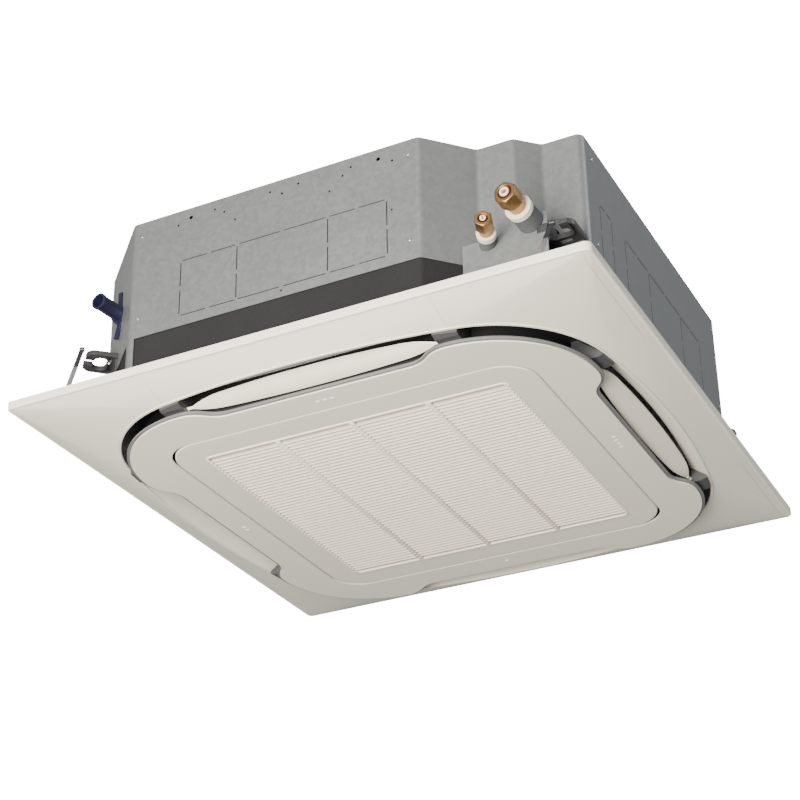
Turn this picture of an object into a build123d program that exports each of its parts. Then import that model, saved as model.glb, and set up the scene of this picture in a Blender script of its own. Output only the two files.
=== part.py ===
from build123d import *
import os
from math import asin, cos, radians, sin

# Ceiling cassette air conditioner. Millimetres, +Z up. The origin is the centre of the ceiling
# panel in the ceiling plane, so the housing stands above z = 0 and the panel hangs below it.
# The four sides are numbered by quarter turns from +X. On one side, s is the distance out from
# the centre and t runs along the side.

# ---- driving dimensions: housing --------------------------------------------------------------
body_side = 840.0
body_height = 298.0
body_chamfer = 125.0
bend_radius = 12.0
smallest_bend = 3.0
sheet = 1.2
sheet_bottom = 88.0
leg_width = 20.0
recess_left = 202.0
recess_foot = 266.0
recess_heel = 324.0
recess_end = 357.0
recess_depth = 70.0
recess_step = 33.0

foam_inset = 3.0
foam_wall = 15.0
foam_top = 270.0
top_flange = 16.0
top_plate_thickness = 1.5
rib_width = 12.0
rib_height = 1.0
rib_spacing = 150.0
rib_count = 4
rib_length = 520.0
rib_corner = 5.9
seat_gap = 0.3

# knock-outs for branch ducts: pairs of slits round blanks in the side sheets
slit_width = 1.8
slit_bridge = 7.0
blank_bottom = 106.0
blank_height = 98.0
front_blank_edges = (-205.0, -105.0, 51.0, 149.0)
right_blank_edges = (-155.0, -50.0, 100.0, 195.0)
small_blank_edges = (-260.0, -212.0)
rear_blank_edges = (-150.0, -50.0, 50.0, 150.0)
small_hole_radius = 1.9
large_hole_radius = 3.2
small_hole_places = ((-213, 272), (-147, 281), (-130, 271), (-110, 251), (-49, 281), (-28, 272),
                     (0, 281), (54, 249), (76, 270), (90, 281), (159, 270), (157, 183), (-27, 99))
large_hole_places = ((-190, 280), (136, 280))

# ---- driving dimensions: ceiling panel --------------------------------------------------------
panel_side = 950.0
panel_corner_radius = 10.0
rim_height = 13.0
rim_rounding = 3.0
slope_start = 5.0
lip_depth = 32.0
face_depth = 50.0
panel_skin = 5.5
rim_wall = 3.0
slot_middle = 422.0
slot_corner_centre = 205.0
slot_corner_radius = 200.0
slot_flare = 26.0
slot_wall = 4.0
bead_width = 3.6
bead_drop = 1.4
cover_thickness = 2.5
cover_gap = 0.4
cover_seat = 0.2
cover_start = 235.0
cover_margin = 15.0

inner_middle = 358.0
inner_flat = 150.0
lobe_centre = 218.0
lobe_radius = 167.0
inner_thickness = 3.0
band_inset = 0.6
band_wall = 2.0
band_top = 40.0
duct_wall_half = 355.0
duct_wall_corner = 150.0
duct_wall = 3.0
duct_plate = 5.0
duct_plate_inner = 340.0
pocket_corner = 110.0
outlet_half_length = 205.0
outlet_inner = 362.0
bridge_start = 209.0
bridge_length = 36.0
bridge_bottom = 39.8
bridge_ramp = 395.0
outlet_edge = 4.0

# ---- driving dimensions: outlet flaps ---------------------------------------------------------
flap_axis_s = 377.0
flap_axis_depth = 32.5
flap_slope = 23.0
flap_half_length = 206.0
flap_shoulder = 150.0
flap_shoulder_width = 14.0
flap_half_width = 18.5
flap_sag = 2.6
flap_thickness = 3.0
flap_pin_radius = 2.5
flap_pin_length = 7.0
running_gap = 0.05
bush_radius = 3.5
bush_length = 5.0
motor_can_radius = 5.5
motor_can_length = 18.0
motor_shaft_radius = 1.5
motor_shaft_grip = 4.0
flap_edge = 0.8

# ---- driving dimensions: grille ---------------------------------------------------------------
grille_half = 305.0
grille_corner = 60.0
grille_seam = 2.0
grille_opening_corner = 55.0
grille_face = 3.5
grille_rim = 3.0
grille_rim_top = 38.0
grille_edge_rounding = 2.5
louvre_half = 257.0
louvre_corner = 12.0
louvre_border = 3.5
louvre_height = 8.0
louvre_fit = 0.3
louvre_rise = 3.5
filter_rib = 4.0
filter_seat = 2.0
slat_pitch = 10.0
slat_chord = 8.5
slat_thickness = 1.8
slat_tilt = -35.0
rib_pitch = 128.0
rib_thickness = 5.0
hinge_y = 290.0
hinge_depth = 43.0
hinge_x = 150.0
hinge_pin_radius = 1.5
hinge_eye_radius = 3.2
hinge_arm_width = 14.0
hinge_arm_rise = 33.5
hinge_arm_plate = 4.0
lug_width = 6.0
lug_gap = 1.0
lug_half = 3.5
hinge_foot = 16.0
hinge_foot_gap = 2.0
hinge_notch_gap = 1.5
filter_half = 250.0
filter_border = 10.0
filter_thickness = 6.0
filter_mesh_count = 17
filter_mesh_pitch = 27.0
filter_mesh_hole = 23.5
filter_sheet = 1.0
catch_x = 100.0
catch_width = 16.0
catch_leaf = 1.5
catch_top = 30.0
catch_bump = 2.0
catch_gap = 0.3
catch_nose = 42.0
catch_foot = 10.0
mark_side = 6.0
mark_pitch = 12.0
mark_height = 0.6
mark_s = 332.0

# ---- driving dimensions: air side -------------------------------------------------------------
pan_bottom = 2.0
pan_top = 95.0
pan_underside = 20.0
pan_pocket_half = 345.0
pan_eye_half = 240.0
pan_eye_corner = 60.0
tray_bottom = 78.0
tray_margin = 7.0
sump_depth = 35.0
sump_margin = 3.0
coil_half = 325.0
coil_corner = 90.0
coil_depth = 38.0
coil_top = 266.0
coil_gap = 225.0
coil_plate = 2.0
bend_tube_radius = 4.0
bend_rows = 5
bend_rise = 22.0
bend_column_pitch = 20.0
header_radius = 9.0
header_y = -278.0
header_low = 90.0
header_high = 250.0
feeder_radius = 3.0
distributor_high = 170.0
distributor_radius = 11.0
distributor_x = 262.0
liquid_feeders = 2

eye_radius = 143.0
bell_wall = 2.5
bell_flare = 45.0
bell_plate_half = 262.0
bell_top = 92.0
shroud_inner_radius = 150.0
fan_radius = 235.0
fan_blade_root = 155.0
fan_blades = 7
fan_blade_thickness = 3.0
fan_blade_sweep = 42.0
fan_sweep_middle = 17.0
fan_blade_middle = 197.0
shroud_bow = 110.0
fan_top = 243.0
fan_plate = 3.0
shroud_bottom = 85.0
shroud_edge = 122.0
shroud_wall = 2.5
cup_radius = 84.0
cup_floor = 184.0
fan_boss_radius = 16.0
fan_boss_height = 24.0
boss_low = 174.0
motor_rounding = 8.0
motor_radius = 70.0
motor_bottom = 206.0
motor_height = 70.0
drive_shaft_radius = 6.0
drive_shaft_bottom = 172.0
drive_shaft_top = 232.0
mount_radius = 9.0
mount_circle = 55.0
mount_count = 4
mount_turn = 45.0

# ---- driving dimensions: controls and drain ---------------------------------------------------
control_length = 300.0
control_inner = 268.0
control_outer = 334.0
control_floor = 26.0
control_wall = 1.5
board_thickness = 1.6
board_margin = 6.0
board_level = 6.0
post_radius = 2.5
capacitor_radius = 9.0
capacitor_height = 20.0
capacitor_pitch = 60.0
capacitor_count = 3
pump_radius = 25.0
pump_place = 322.5
pump_head = 160.0
pump_arm = 20.0
pump_arm_radius = 12.0
nozzle_back = 42.0
nozzle_height = 6.0
float_x = -262.0
float_y = -352.0
float_radius = 11.0
float_height = 14.0
float_stem_radius = 2.5
float_stem_top = 130.0
float_bracket = 2.0
float_lift = 1.0
float_stop_radius = 6.0
float_cap = 10.0
socket_x = -352.0
socket_y = -363.0
socket_z = 179.0
socket_turn = 7.0
socket_length = 54.0
socket_radius = 13.0
socket_bore = 10.0
socket_back = 26.0
socket_end = 12.0
socket_end_wall = 3.0
spigot_bore = 5.0
socket_room = 38.0
socket_flange_corner = 6.0
socket_collar_radius = 15.5
socket_collar_length = 9.0
socket_flange_height = 77.0
socket_flange_width = 30.0
socket_flange_thickness = 3.0
hose_radius = 9.6
hose_bore = 7.0
hose_bend = 12.0
hose_insert = 6.0

# ---- driving dimensions: refrigerant pipes ----------------------------------------------------
gas_root = (354.0, -372.0, 128.0)
gas_turn = -2.6
gas_radius = 7.95
gas_reach = 92.0
gas_sleeve_radius = 19.0
gas_sleeve_reach = 34.0
gas_collar_radius = 20.0
gas_nut_flats = 29.0
gas_nut_length = 30.0
liquid_root = (287.0, -372.0, 112.0)
liquid_turn = 17.2
liquid_radius = 4.75
liquid_reach = 72.0
liquid_sleeve_radius = 13.0
liquid_sleeve_reach = 20.0
liquid_collar_radius = 14.5
liquid_nut_flats = 22.0
liquid_nut_length = 22.0
collar_length = 9.0
gas_sleeve_back = 48.0
liquid_sleeve_back = 44.0
liquid_back = 66.0
sleeve_fit = 0.1
plate_fit = 0.5
nut_shoulder_share = 0.35
nut_taper = 22.0
pipe_elbow = 30.0
plug_length = 6.0
sleeve_hole_gap = 1.0
plate_y = -372.0
plate_right = 379.0
plate_low_top = 118.0
plate_high_top = 140.0
plate_step_x = 309.0
plate_step_run = 13.0

# ---- driving dimensions: hanging --------------------------------------------------------------
hanger_x = 390.0
hanger_y = 355.0
hanger_level = 110.0
hanger_plate = 4.0
hanger_width = 46.0
hanger_reach = 54.0
hanger_corner = 8.0
hanger_pocket_radius = 9.0
hanger_mouth = 12.0
hanger_foot = 62.0
hanger_foot_thickness = 3.0
hanger_window = (16.0, 9.0)
strap_width = 8.0
strap_thickness = 1.5
strap_side = 15.0
strap_side_recess = 6.0
strap_offset = 1.6
strap_rise = 6.0
anchor_length = 14.0
anchor_width = 8.0
anchor_height = 9.0
strap_foot_x = 371.0
strap_foot_x_recess = 394.0
strap_foot_y = 463.0
screw_head_radius = 5.0
screw_head_height = 2.5
screw_shank_radius = 2.5
screw_s = 409.5
screw_t = 285.0
screw_top = 24.0
screw_seat = -19.0
rivet_radius = 3.0
rivet_height = 1.5
rivet_place = 280.0
rivet_place_recess = 185.0
rivet_low = 122.0
rivet_high = 272.0

# ---- values worked out from the driving dimensions --------------------------------------------
body_half = body_side / 2
panel_half = panel_side / 2
chamfer_end = body_half - body_chamfer
recess_y = -body_half + recess_depth
recess_back = recess_y + recess_step
foam_total = foam_inset + foam_wall
slot_top_middle = slot_middle - slot_flare
slot_top_radius = slot_corner_radius - slot_flare
inner_top = face_depth - inner_thickness
grille_opening = grille_half + grille_seam
coil_inner = coil_half - coil_depth
flap_side_names = ("right", "rear", "left", "front")
corner_names = ("right_rear", "left_rear", "left_front", "right_front")
corner_signs = ((1, 1), (-1, 1), (-1, -1), (1, -1))
strap_feet = [(x_sign * strap_foot_x, y_sign * strap_foot_y) for x_sign, y_sign in corner_signs[:3]]
strap_feet.append((strap_foot_x_recess, -strap_foot_y))
bush_end = bridge_start + bush_length
bush_bore = flap_pin_radius + running_gap
bridge_end = bridge_start + bridge_length
motor_start = bridge_end - motor_can_length

os.makedirs("parts", exist_ok=True)


# ---- outlines and small helpers ---------------------------------------------------------------
def casing_corners(inset):
    """Corner points of the housing outline, moved inwards by inset."""
    corners = [
        Vector(-chamfer_end, -body_half),
        Vector(recess_left, -body_half),
        Vector(recess_foot, recess_y),
        Vector(recess_heel, recess_y),
        Vector(recess_end, recess_back),
        Vector(body_half, recess_back),
        Vector(body_half, chamfer_end),
        Vector(chamfer_end, body_half),
        Vector(-chamfer_end, body_half),
        Vector(-body_half, chamfer_end),
        Vector(-body_half, -chamfer_end),
    ]
    moved = []
    for before, here, after in zip(corners[-1:] + corners[:-1], corners, corners[1:] + corners[:1]):
        run_in = (here - before).normalized()
        run_out = (after - here).normalized()
        mitre = Vector(-run_in.Y - run_out.Y, run_in.X + run_out.X)
        moved.append(here + mitre * (2 * inset / mitre.dot(mitre)))
    return moved


def casing_face(inset, mode=Mode.ADD):
    """The housing outline as a face, moved inwards by inset, with bent corners."""
    with BuildLine() as outline:
        FilletPolyline(*casing_corners(inset), radius=max(bend_radius - inset, smallest_bend), close=True)
    make_face(outline.edges(), mode=mode)


def turned(point, quarter):
    """The plan point turned by quarter turns about the centre."""
    return Vector(*point).rotate(Axis.Z, 90 * quarter)


def bowed_square(middle, centre, radius, mode=Mode.ADD):
    """A square outline with bowed sides that run smoothly into its round corners."""
    reach = centre + radius
    bow = (radius**2 - centre**2 - (centre - middle) ** 2) / (2 * (reach - middle))
    meet = asin(centre / (bow - radius))
    side_end = (centre + radius * cos(meet), centre + radius * sin(meet))
    corner_end = (side_end[1], side_end[0])
    corner_middle = (centre + radius * cos(radians(45)), centre + radius * sin(radians(45)))
    with BuildLine() as outline:
        for quarter in range(4):
            ThreePointArc(
                turned((side_end[0], -side_end[1]), quarter),
                turned((middle, 0), quarter),
                turned(side_end, quarter),
            )
            ThreePointArc(
                turned(side_end, quarter), turned(corner_middle, quarter), turned(corner_end, quarter)
            )
    make_face(outline.edges(), mode=mode)


def square_with_round_corners(half, radius):
    """A square outline that starts where bowed_square starts, for lofts between the two."""
    straight = half - radius
    corner_middle = straight + radius * cos(radians(45))
    with BuildLine() as outline:
        for quarter in range(4):
            Line(turned((half, -straight), quarter), turned((half, straight), quarter))
            ThreePointArc(
                turned((half, straight), quarter),
                turned((corner_middle, corner_middle), quarter),
                turned((straight, half), quarter),
            )
    make_face(outline.edges())


def lobed_square(inset, mode=Mode.ADD):
    """The inner panel's outline: flat sides that swell through S-curves into round lobes."""
    middle = inner_middle - inset
    radius = lobe_radius - inset
    reach = lobe_centre + radius
    half_way = (middle + reach) / 2
    swell_middle = (inner_flat + lobe_centre) / 2
    corner_middle = lobe_centre + radius * cos(radians(45))
    with BuildLine() as outline:
        for quarter in range(4):
            Line(turned((middle, -inner_flat), quarter), turned((middle, inner_flat), quarter))
            TangentArc(
                turned((middle, inner_flat), quarter),
                turned((half_way, swell_middle), quarter),
                tangent=turned((0, 1), quarter),
            )
            TangentArc(
                turned((reach, lobe_centre), quarter),
                turned((half_way, swell_middle), quarter),
                tangent=turned((0, -1), quarter),
            )
            ThreePointArc(
                turned((reach, lobe_centre), quarter),
                turned((corner_middle, corner_middle), quarter),
                turned((lobe_centre, reach), quarter),
            )
            TangentArc(
                turned((lobe_centre, reach), quarter),
                turned((swell_middle, half_way), quarter),
                tangent=turned((-1, 0), quarter),
            )
            TangentArc(
                turned((inner_flat, middle), quarter),
                turned((swell_middle, half_way), quarter),
                tangent=turned((1, 0), quarter),
            )
    make_face(outline.edges(), mode=mode)


def slab(x_range, y_range, z_range, mode=Mode.ADD):
    """A box from its ranges along X, Y and Z."""
    centre = [(low + high) / 2 for low, high in (x_range, y_range, z_range)]
    size = [high - low for low, high in (x_range, y_range, z_range)]
    with Locations(tuple(centre)):
        Box(*size, mode=mode)


def rod(base, radius, height, mode=Mode.ADD):
    """An upright cylinder that starts at base."""
    with Locations(base):
        Cylinder(radius, height, align=(Align.CENTER, Align.CENTER, Align.MIN), mode=mode)


def square_prism(half, radius, low, high, mode=Mode.ADD):
    """An upright prism on a square with round corners."""
    with BuildSketch(Plane.XY.offset(low)) as base:
        RectangleRounded(2 * half, 2 * half, radius)
    extrude(base.sketch, amount=high - low, mode=mode)


def outlet_slots(inner, outer, half_length, low, high):
    """Cut the four air outlets through what stands between two levels."""
    with PolarLocations(0, 4):
        with Locations(((inner + outer) / 2, 0, (low + high) / 2)):
            Box(outer - inner, 2 * half_length, high - low, mode=Mode.SUBTRACT)


def slit_spans(start, stop):
    """Two slits between start and stop, with a bridge at each end and one in the middle."""
    middle = (start + stop) / 2
    half_bridge = slit_bridge / 2
    return (start + half_bridge, middle - half_bridge), (middle + half_bridge, stop - half_bridge)


def blank_slits(edges):
    """Slits round a row of knock-out blanks, whose upright edges are given."""
    top = blank_bottom + blank_height
    for left, right in zip(edges[:-1], edges[1:]):
        for start, stop in slit_spans(left, right):
            with Locations(((start + stop) / 2, blank_bottom), ((start + stop) / 2, top)):
                Rectangle(stop - start, slit_width)
    for edge in edges:
        for start, stop in slit_spans(blank_bottom, top):
            with Locations((edge, (start + stop) / 2)):
                Rectangle(slit_width, stop - start)


def pipe_axis(root, turn, back=0.0):
    """Plane whose normal runs out along a pipe, a distance back from where it leaves the plate."""
    outwards = Vector(sin(radians(turn)), -cos(radians(turn)), 0)
    return Plane(origin=Vector(*root) - outwards * back, x_dir=(0, 0, 1), z_dir=outwards)


def pipe_ring(plane, outer, inner, start, stop, mode=Mode.ADD):
    """A tube, or a rod where inner is 0, along a pipe's own axis."""
    with BuildSketch(plane.offset(start)) as ring:
        Circle(outer)
        if inner > 0:
            Circle(inner, mode=Mode.SUBTRACT)
    extrude(ring.sketch, amount=stop - start, mode=mode)


gas_axis = pipe_axis(gas_root, gas_turn)
liquid_axis = pipe_axis(liquid_root, liquid_turn)
pipe_back = 80.0

# ---- shared solids ----------------------------------------------------------------------------
# the panel's sloped body between the rim and the bead
with BuildPart() as slope_body:
    with BuildSketch(Plane.XY.offset(-rim_height)):
        square_with_round_corners(panel_half - slope_start, panel_corner_radius)
    with BuildSketch(Plane.XY.offset(-lip_depth)):
        bowed_square(slot_middle + bead_width, slot_corner_centre, slot_corner_radius + bead_width)
    loft(ruled=True)


def slot_body(offset):
    """The air slot's room: it flares in from the lip to the rim's level, then stands upright."""
    middle = slot_top_middle + offset
    radius = slot_top_radius + offset
    with BuildPart() as body:
        with BuildSketch(Plane.XY.offset(-lip_depth)):
            bowed_square(slot_middle + offset, slot_corner_centre, slot_corner_radius + offset)
        with BuildSketch(Plane.XY.offset(-rim_height)):
            bowed_square(middle, slot_corner_centre, radius)
        loft(ruled=True)
        with BuildSketch(Plane.XY.offset(-rim_height)) as upright:
            bowed_square(middle, slot_corner_centre, radius)
        extrude(upright.sketch, amount=rim_height)
    return body.part


slot_hole = slot_body(0)
slot_wall_body = slot_body(slot_wall)
slot_core = slot_body(-seat_gap)


def corner_layer(depth, gap):
    """The slope's lower skin in the four corners, gap clear of the step line, seams and bead."""
    middle = (cover_start + panel_half - cover_margin) / 2
    side = panel_half - cover_margin - cover_start - 2 * gap
    bead_edge = bead_width + gap
    with BuildPart() as layer:
        add(slope_body.part)
        add(slope_body.part.moved(Location((0, 0, depth))), mode=Mode.SUBTRACT)
        with BuildSketch(Plane.XY.offset(-face_depth)) as columns:
            with GridLocations(2 * middle, 2 * middle, 2, 2):
                Rectangle(side, side)
            bowed_square(
                slot_middle + bead_edge, slot_corner_centre, slot_corner_radius + bead_edge, Mode.SUBTRACT
            )
        extrude(columns.sketch, amount=face_depth, mode=Mode.INTERSECT)
    return layer.part


def quarter_directions(quarter):
    """Directions out from the centre and along the side, for one side."""
    return turned((1, 0), quarter), turned((0, 1), quarter)


def flap_rod(quarter, start, stop, radius, mode=Mode.ADD):
    """A round pin on a flap's axis, between two places along the side."""
    outwards, along = quarter_directions(quarter)
    origin = outwards * flap_axis_s + along * start - Vector(0, 0, flap_axis_depth)
    with BuildSketch(Plane(origin=origin, x_dir=(0, 0, 1), z_dir=along)) as section:
        Circle(radius)
    extrude(section.sketch, amount=stop - start, mode=mode)


def outlet_openings(edge, mode=Mode.SUBTRACT):
    """Plan of the four outlets inside the top of the slot, edge clear of its outer face."""
    corner = panel_half - outlet_half_length
    with BuildSketch(mode=Mode.PRIVATE) as openings:
        bowed_square(slot_top_middle - edge, slot_corner_centre, slot_top_radius - edge)
        Rectangle(2 * outlet_inner, 2 * outlet_inner, mode=Mode.SUBTRACT)
        with GridLocations(panel_half + outlet_half_length, panel_half + outlet_half_length, 2, 2):
            Rectangle(corner, corner, mode=Mode.SUBTRACT)
    add(openings.sketch, mode=mode)


# ---- ceiling panel ----------------------------------------------------------------------------
# the panel's hollow over its skin, open to the ceiling
with BuildPart() as panel_hollow:
    add(slope_body.part.moved(Location((0, 0, panel_skin))))
    with BuildSketch(Plane.XY.offset(panel_skin - rim_height)) as upper_hollow:
        square_with_round_corners(panel_half - rim_wall, panel_corner_radius - rim_wall)
    extrude(upper_hollow.sketch, amount=rim_height)
    add(slot_wall_body, mode=Mode.SUBTRACT)

def cut_at_corners():
    """Cut the part being built into its four sides, along the two diagonals."""
    for turn in (-1, 1):
        split(bisect_by=Plane(origin=(0, 0, 0), z_dir=(turn, 1, 0)), keep=Keep.BOTH)


def cut_at_side_middles():
    """Cut the part being built along the upright planes through the middles of its sides."""
    split(bisect_by=Plane.XZ, keep=Keep.BOTH)
    split(bisect_by=Plane.YZ, keep=Keep.BOTH)


cover_seats = corner_layer(cover_thickness + cover_seat, 0)
with BuildPart() as panel_frame:
    with BuildSketch() as rim_sketch:
        square_with_round_corners(panel_half, panel_corner_radius)
    extrude(rim_sketch.sketch, amount=-rim_height)
    fillet(panel_frame.faces().sort_by(Axis.Z)[0].edges(), radius=rim_rounding)
    add(slope_body.part)
    with BuildSketch(Plane.XY.offset(-lip_depth - bead_drop)) as bead_sketch:
        bowed_square(slot_middle + bead_width, slot_corner_centre, slot_corner_radius + bead_width)
    extrude(bead_sketch.sketch, amount=bead_drop)
    with BuildSketch(Plane.XY.offset(-lip_depth)) as lip_sketch:
        bowed_square(slot_middle, slot_corner_centre, slot_corner_radius)
    extrude(lip_sketch.sketch, amount=-bead_drop, mode=Mode.SUBTRACT)
    add(slot_hole, mode=Mode.SUBTRACT)
    add(panel_hollow.part, mode=Mode.SUBTRACT)
    add(cover_seats, mode=Mode.SUBTRACT)
    # bosses that hold the lower ends of the hanging straps
    for foot_x, foot_y in strap_feet:
        with Locations((foot_x, foot_y, -anchor_height / 2)):
            Box(anchor_length, anchor_width, anchor_height)
    for x_sign, y_sign in corner_signs:
        screw_way = (x_sign * screw_s, y_sign * screw_t, -face_depth)
        rod(screw_way, screw_shank_radius, face_depth, Mode.SUBTRACT)
    split(bisect_by=Plane.XY.offset(-rim_height), keep=Keep.BOTH)
    cut_at_corners()
panel_frame.part.label = "panel_frame"
export_step(panel_frame.part, "parts/panel_frame.step")

corner_skins = corner_layer(cover_thickness, cover_gap).solids()
for name, (x_sign, y_sign) in zip(corner_names, corner_signs):
    with BuildPart() as corner_cover:
        add(corner_skins.sort_by(lambda skin: -x_sign * skin.center().X - y_sign * skin.center().Y)[0])
    corner_cover.part.label = f"corner_cover_{name}"
    export_step(corner_cover.part, f"parts/corner_cover_{name}.step")


with BuildPart() as outlet_duct:
    with BuildSketch(Plane.XY.offset(-duct_plate)) as plate_sketch:
        bowed_square(slot_top_middle - seat_gap, slot_corner_centre, slot_top_radius - seat_gap)
        RectangleRounded(2 * duct_plate_inner, 2 * duct_plate_inner, pocket_corner, mode=Mode.SUBTRACT)
        outlet_openings(outlet_edge)
    extrude(plate_sketch.sketch, amount=duct_plate)
    with BuildSketch(Plane.XY.offset(-inner_top)) as wall_sketch:
        RectangleRounded(2 * duct_wall_half, 2 * duct_wall_half, duct_wall_corner)
        RectangleRounded(
            2 * (duct_wall_half - duct_wall), 2 * (duct_wall_half - duct_wall),
            duct_wall_corner - duct_wall, mode=Mode.SUBTRACT,
        )
    extrude(wall_sketch.sketch, amount=inner_top)
    split(bisect_by=Plane.XY.offset(-duct_plate), keep=Keep.BOTH)
    cut_at_corners()
    cut_at_side_middles()
outlet_duct.part.label = "outlet_duct"
export_step(outlet_duct.part, "parts/outlet_duct.step")

with BuildPart() as bridge_room:
    add(slot_core)
    with BuildSketch(Plane.XY.offset(-lip_depth)) as lip_room:
        bowed_square(slot_middle - seat_gap, slot_corner_centre, slot_corner_radius - seat_gap)
    extrude(lip_room.sketch, amount=-(face_depth - lip_depth))

bridge_inner = duct_wall_half + seat_gap
bridge_middles = [side * (bridge_start + bridge_length / 2) for side in (-1, 1)]
with BuildPart() as outlet_bridges:
    for quarter in range(4):
        outwards, along = quarter_directions(quarter)
        for middle in bridge_middles:
            start = along * (middle - bridge_length / 2)
            with BuildSketch(Plane(origin=start, x_dir=outwards, z_dir=-along)) as bridge_profile:
                with BuildLine():
                    Polyline(
                        (bridge_inner, -duct_plate),
                        (slot_middle, -duct_plate),
                        (slot_middle, -lip_depth),
                        (bridge_ramp, -bridge_bottom),
                        (bridge_inner, -bridge_bottom),
                        close=True,
                    )
                make_face()
            extrude(bridge_profile.sketch, amount=-bridge_length)
    add(bridge_room.part, mode=Mode.INTERSECT)
    for quarter in range(4):
        flap_rod(quarter, bridge_start, bush_end, bush_radius, Mode.SUBTRACT)
        flap_rod(quarter, -bush_end, -bridge_start, bush_radius, Mode.SUBTRACT)
        flap_rod(quarter, bush_end, motor_start, motor_shaft_radius + running_gap, Mode.SUBTRACT)
        flap_rod(quarter, motor_start, bridge_end, motor_can_radius + seat_gap / 2, Mode.SUBTRACT)
outlet_bridges.part.label = "outlet_bridges"
export_step(outlet_bridges.part, "parts/outlet_bridges.step")

with BuildPart() as flap_bushes:
    for quarter in range(4):
        for start, stop in ((bridge_start, bush_end), (-bush_end, -bridge_start)):
            flap_rod(quarter, start, stop, bush_radius)
            flap_rod(quarter, start, stop, bush_bore, Mode.SUBTRACT)
flap_bushes.part.label = "flap_bushes"
export_step(flap_bushes.part, "parts/flap_bushes.step")

pin_end = bush_end - seat_gap
with BuildPart() as flap_motors:
    for quarter in range(4):
        flap_rod(quarter, motor_start, motor_start + motor_can_length, motor_can_radius)
        flap_rod(quarter, pin_end - motor_shaft_grip, motor_start, motor_shaft_radius)
flap_motors.part.label = "flap_motors"
export_step(flap_motors.part, "parts/flap_motors.step")

for quarter, name in enumerate(flap_side_names):
    outwards, along = quarter_directions(quarter)
    chord = outwards * cos(radians(flap_slope)) + Vector(0, 0, sin(radians(flap_slope)))
    axis_middle = outwards * flap_axis_s - Vector(0, 0, flap_axis_depth)
    with BuildPart() as outlet_flap:
        with BuildSketch(Plane(origin=axis_middle, x_dir=along, z_dir=along.cross(chord))) as lens:
            with BuildLine():
                edge = ThreePointArc(
                    (-flap_shoulder, flap_shoulder_width),
                    (0, flap_half_width),
                    (flap_shoulder, flap_shoulder_width),
                )
                TangentArc(edge @ 1, (flap_half_length, 0), tangent=edge % 1)
                TangentArc(edge @ 0, (-flap_half_length, 0), tangent=(edge % 0) * -1)
                mirror(about=Plane.XZ)
            make_face()
        extrude(lens.sketch, amount=flap_half_width, both=True)
        flap_end = axis_middle - along * flap_half_length
        with BuildSketch(Plane(origin=flap_end, x_dir=chord, z_dir=along)) as curved_section:
            with BuildLine() as curve:
                ThreePointArc((-flap_half_width, -flap_sag), (0, 0), (flap_half_width, -flap_sag))
            trace(curve.edges(), line_width=flap_thickness)
        extrude(curved_section.sketch, amount=2 * flap_half_length, mode=Mode.INTERSECT)
        rounded = outlet_flap.faces().sort_by(SortBy.AREA)[-2:].edges()
        chamfer(rounded, length=flap_edge)
        flap_rod(quarter, flap_half_length - flap_pin_length, pin_end, flap_pin_radius)
        flap_rod(quarter, -pin_end, flap_pin_length - flap_half_length, flap_pin_radius)
        shaft_room = pin_end - motor_shaft_grip - seat_gap
        flap_rod(quarter, shaft_room, pin_end, motor_shaft_radius + running_gap, Mode.SUBTRACT)
    outlet_flap.part.label = f"outlet_flap_{name}"
    export_step(outlet_flap.part, f"parts/outlet_flap_{name}.step")

with BuildPart() as inner_band:
    with BuildSketch(Plane.XY.offset(-inner_top)) as band_sketch:
        lobed_square(band_inset)
        lobed_square(band_inset + band_wall, Mode.SUBTRACT)
    extrude(band_sketch.sketch, amount=inner_top - band_top)
inner_band.part.label = "inner_band"
export_step(inner_band.part, "parts/inner_band.step")

with BuildPart() as inner_panel:
    with BuildSketch(Plane.XY.offset(-face_depth)) as face_sketch:
        lobed_square(0)
        RectangleRounded(
            2 * grille_opening, 2 * grille_opening, grille_opening_corner, mode=Mode.SUBTRACT
        )
    extrude(face_sketch.sketch, amount=inner_thickness)
inner_panel.part.label = "inner_panel"
export_step(inner_panel.part, "parts/inner_panel.step")

# raised squares beside the outlets: one, two, three and four of them, so each outlet has its number
with BuildPart() as outlet_marks:
    for quarter, count in zip(range(4), (4, 1, 2, 3)):
        outwards, along = quarter_directions(quarter)
        for index in range(count):
            place = outwards * mark_s + along * (index - (count - 1) / 2) * mark_pitch
            with Locations((place.X, place.Y, -face_depth - mark_height / 2)):
                Box(mark_side, mark_side, mark_height)
outlet_marks.part.label = "outlet_marks"
export_step(outlet_marks.part, "parts/outlet_marks.step")

with BuildPart() as panel_screws:
    for x_sign, y_sign in corner_signs:
        rod((x_sign * screw_s, y_sign * screw_t, screw_seat), screw_shank_radius, screw_top - screw_seat)
        rod((x_sign * screw_s, y_sign * screw_t, screw_seat), screw_head_radius, screw_head_height)
panel_screws.part.label = "panel_screws"
export_step(panel_screws.part, "parts/panel_screws.step")

with BuildPart() as panel_seal:
    with BuildSketch() as seal_sketch:
        bowed_square(slot_top_middle - seat_gap, slot_corner_centre, slot_top_radius - seat_gap)
        casing_face(foam_total + seat_gap, Mode.INTERSECT)
        RectangleRounded(2 * pan_pocket_half, 2 * pan_pocket_half, pocket_corner, mode=Mode.SUBTRACT)
        outlet_openings(outlet_edge)
    extrude(seal_sketch.sketch, amount=pan_bottom)
    cut_at_corners()
    cut_at_side_middles()
panel_seal.part.label = "panel_seal"
export_step(panel_seal.part, "parts/panel_seal.step")

# ---- grille, hinged along the front edge ------------------------------------------------------
hinge_plane = Plane(origin=(0, -hinge_y, -hinge_depth), x_dir=(0, 1, 0), z_dir=(1, 0, 0))
arm_half = hinge_arm_width / 2


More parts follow.
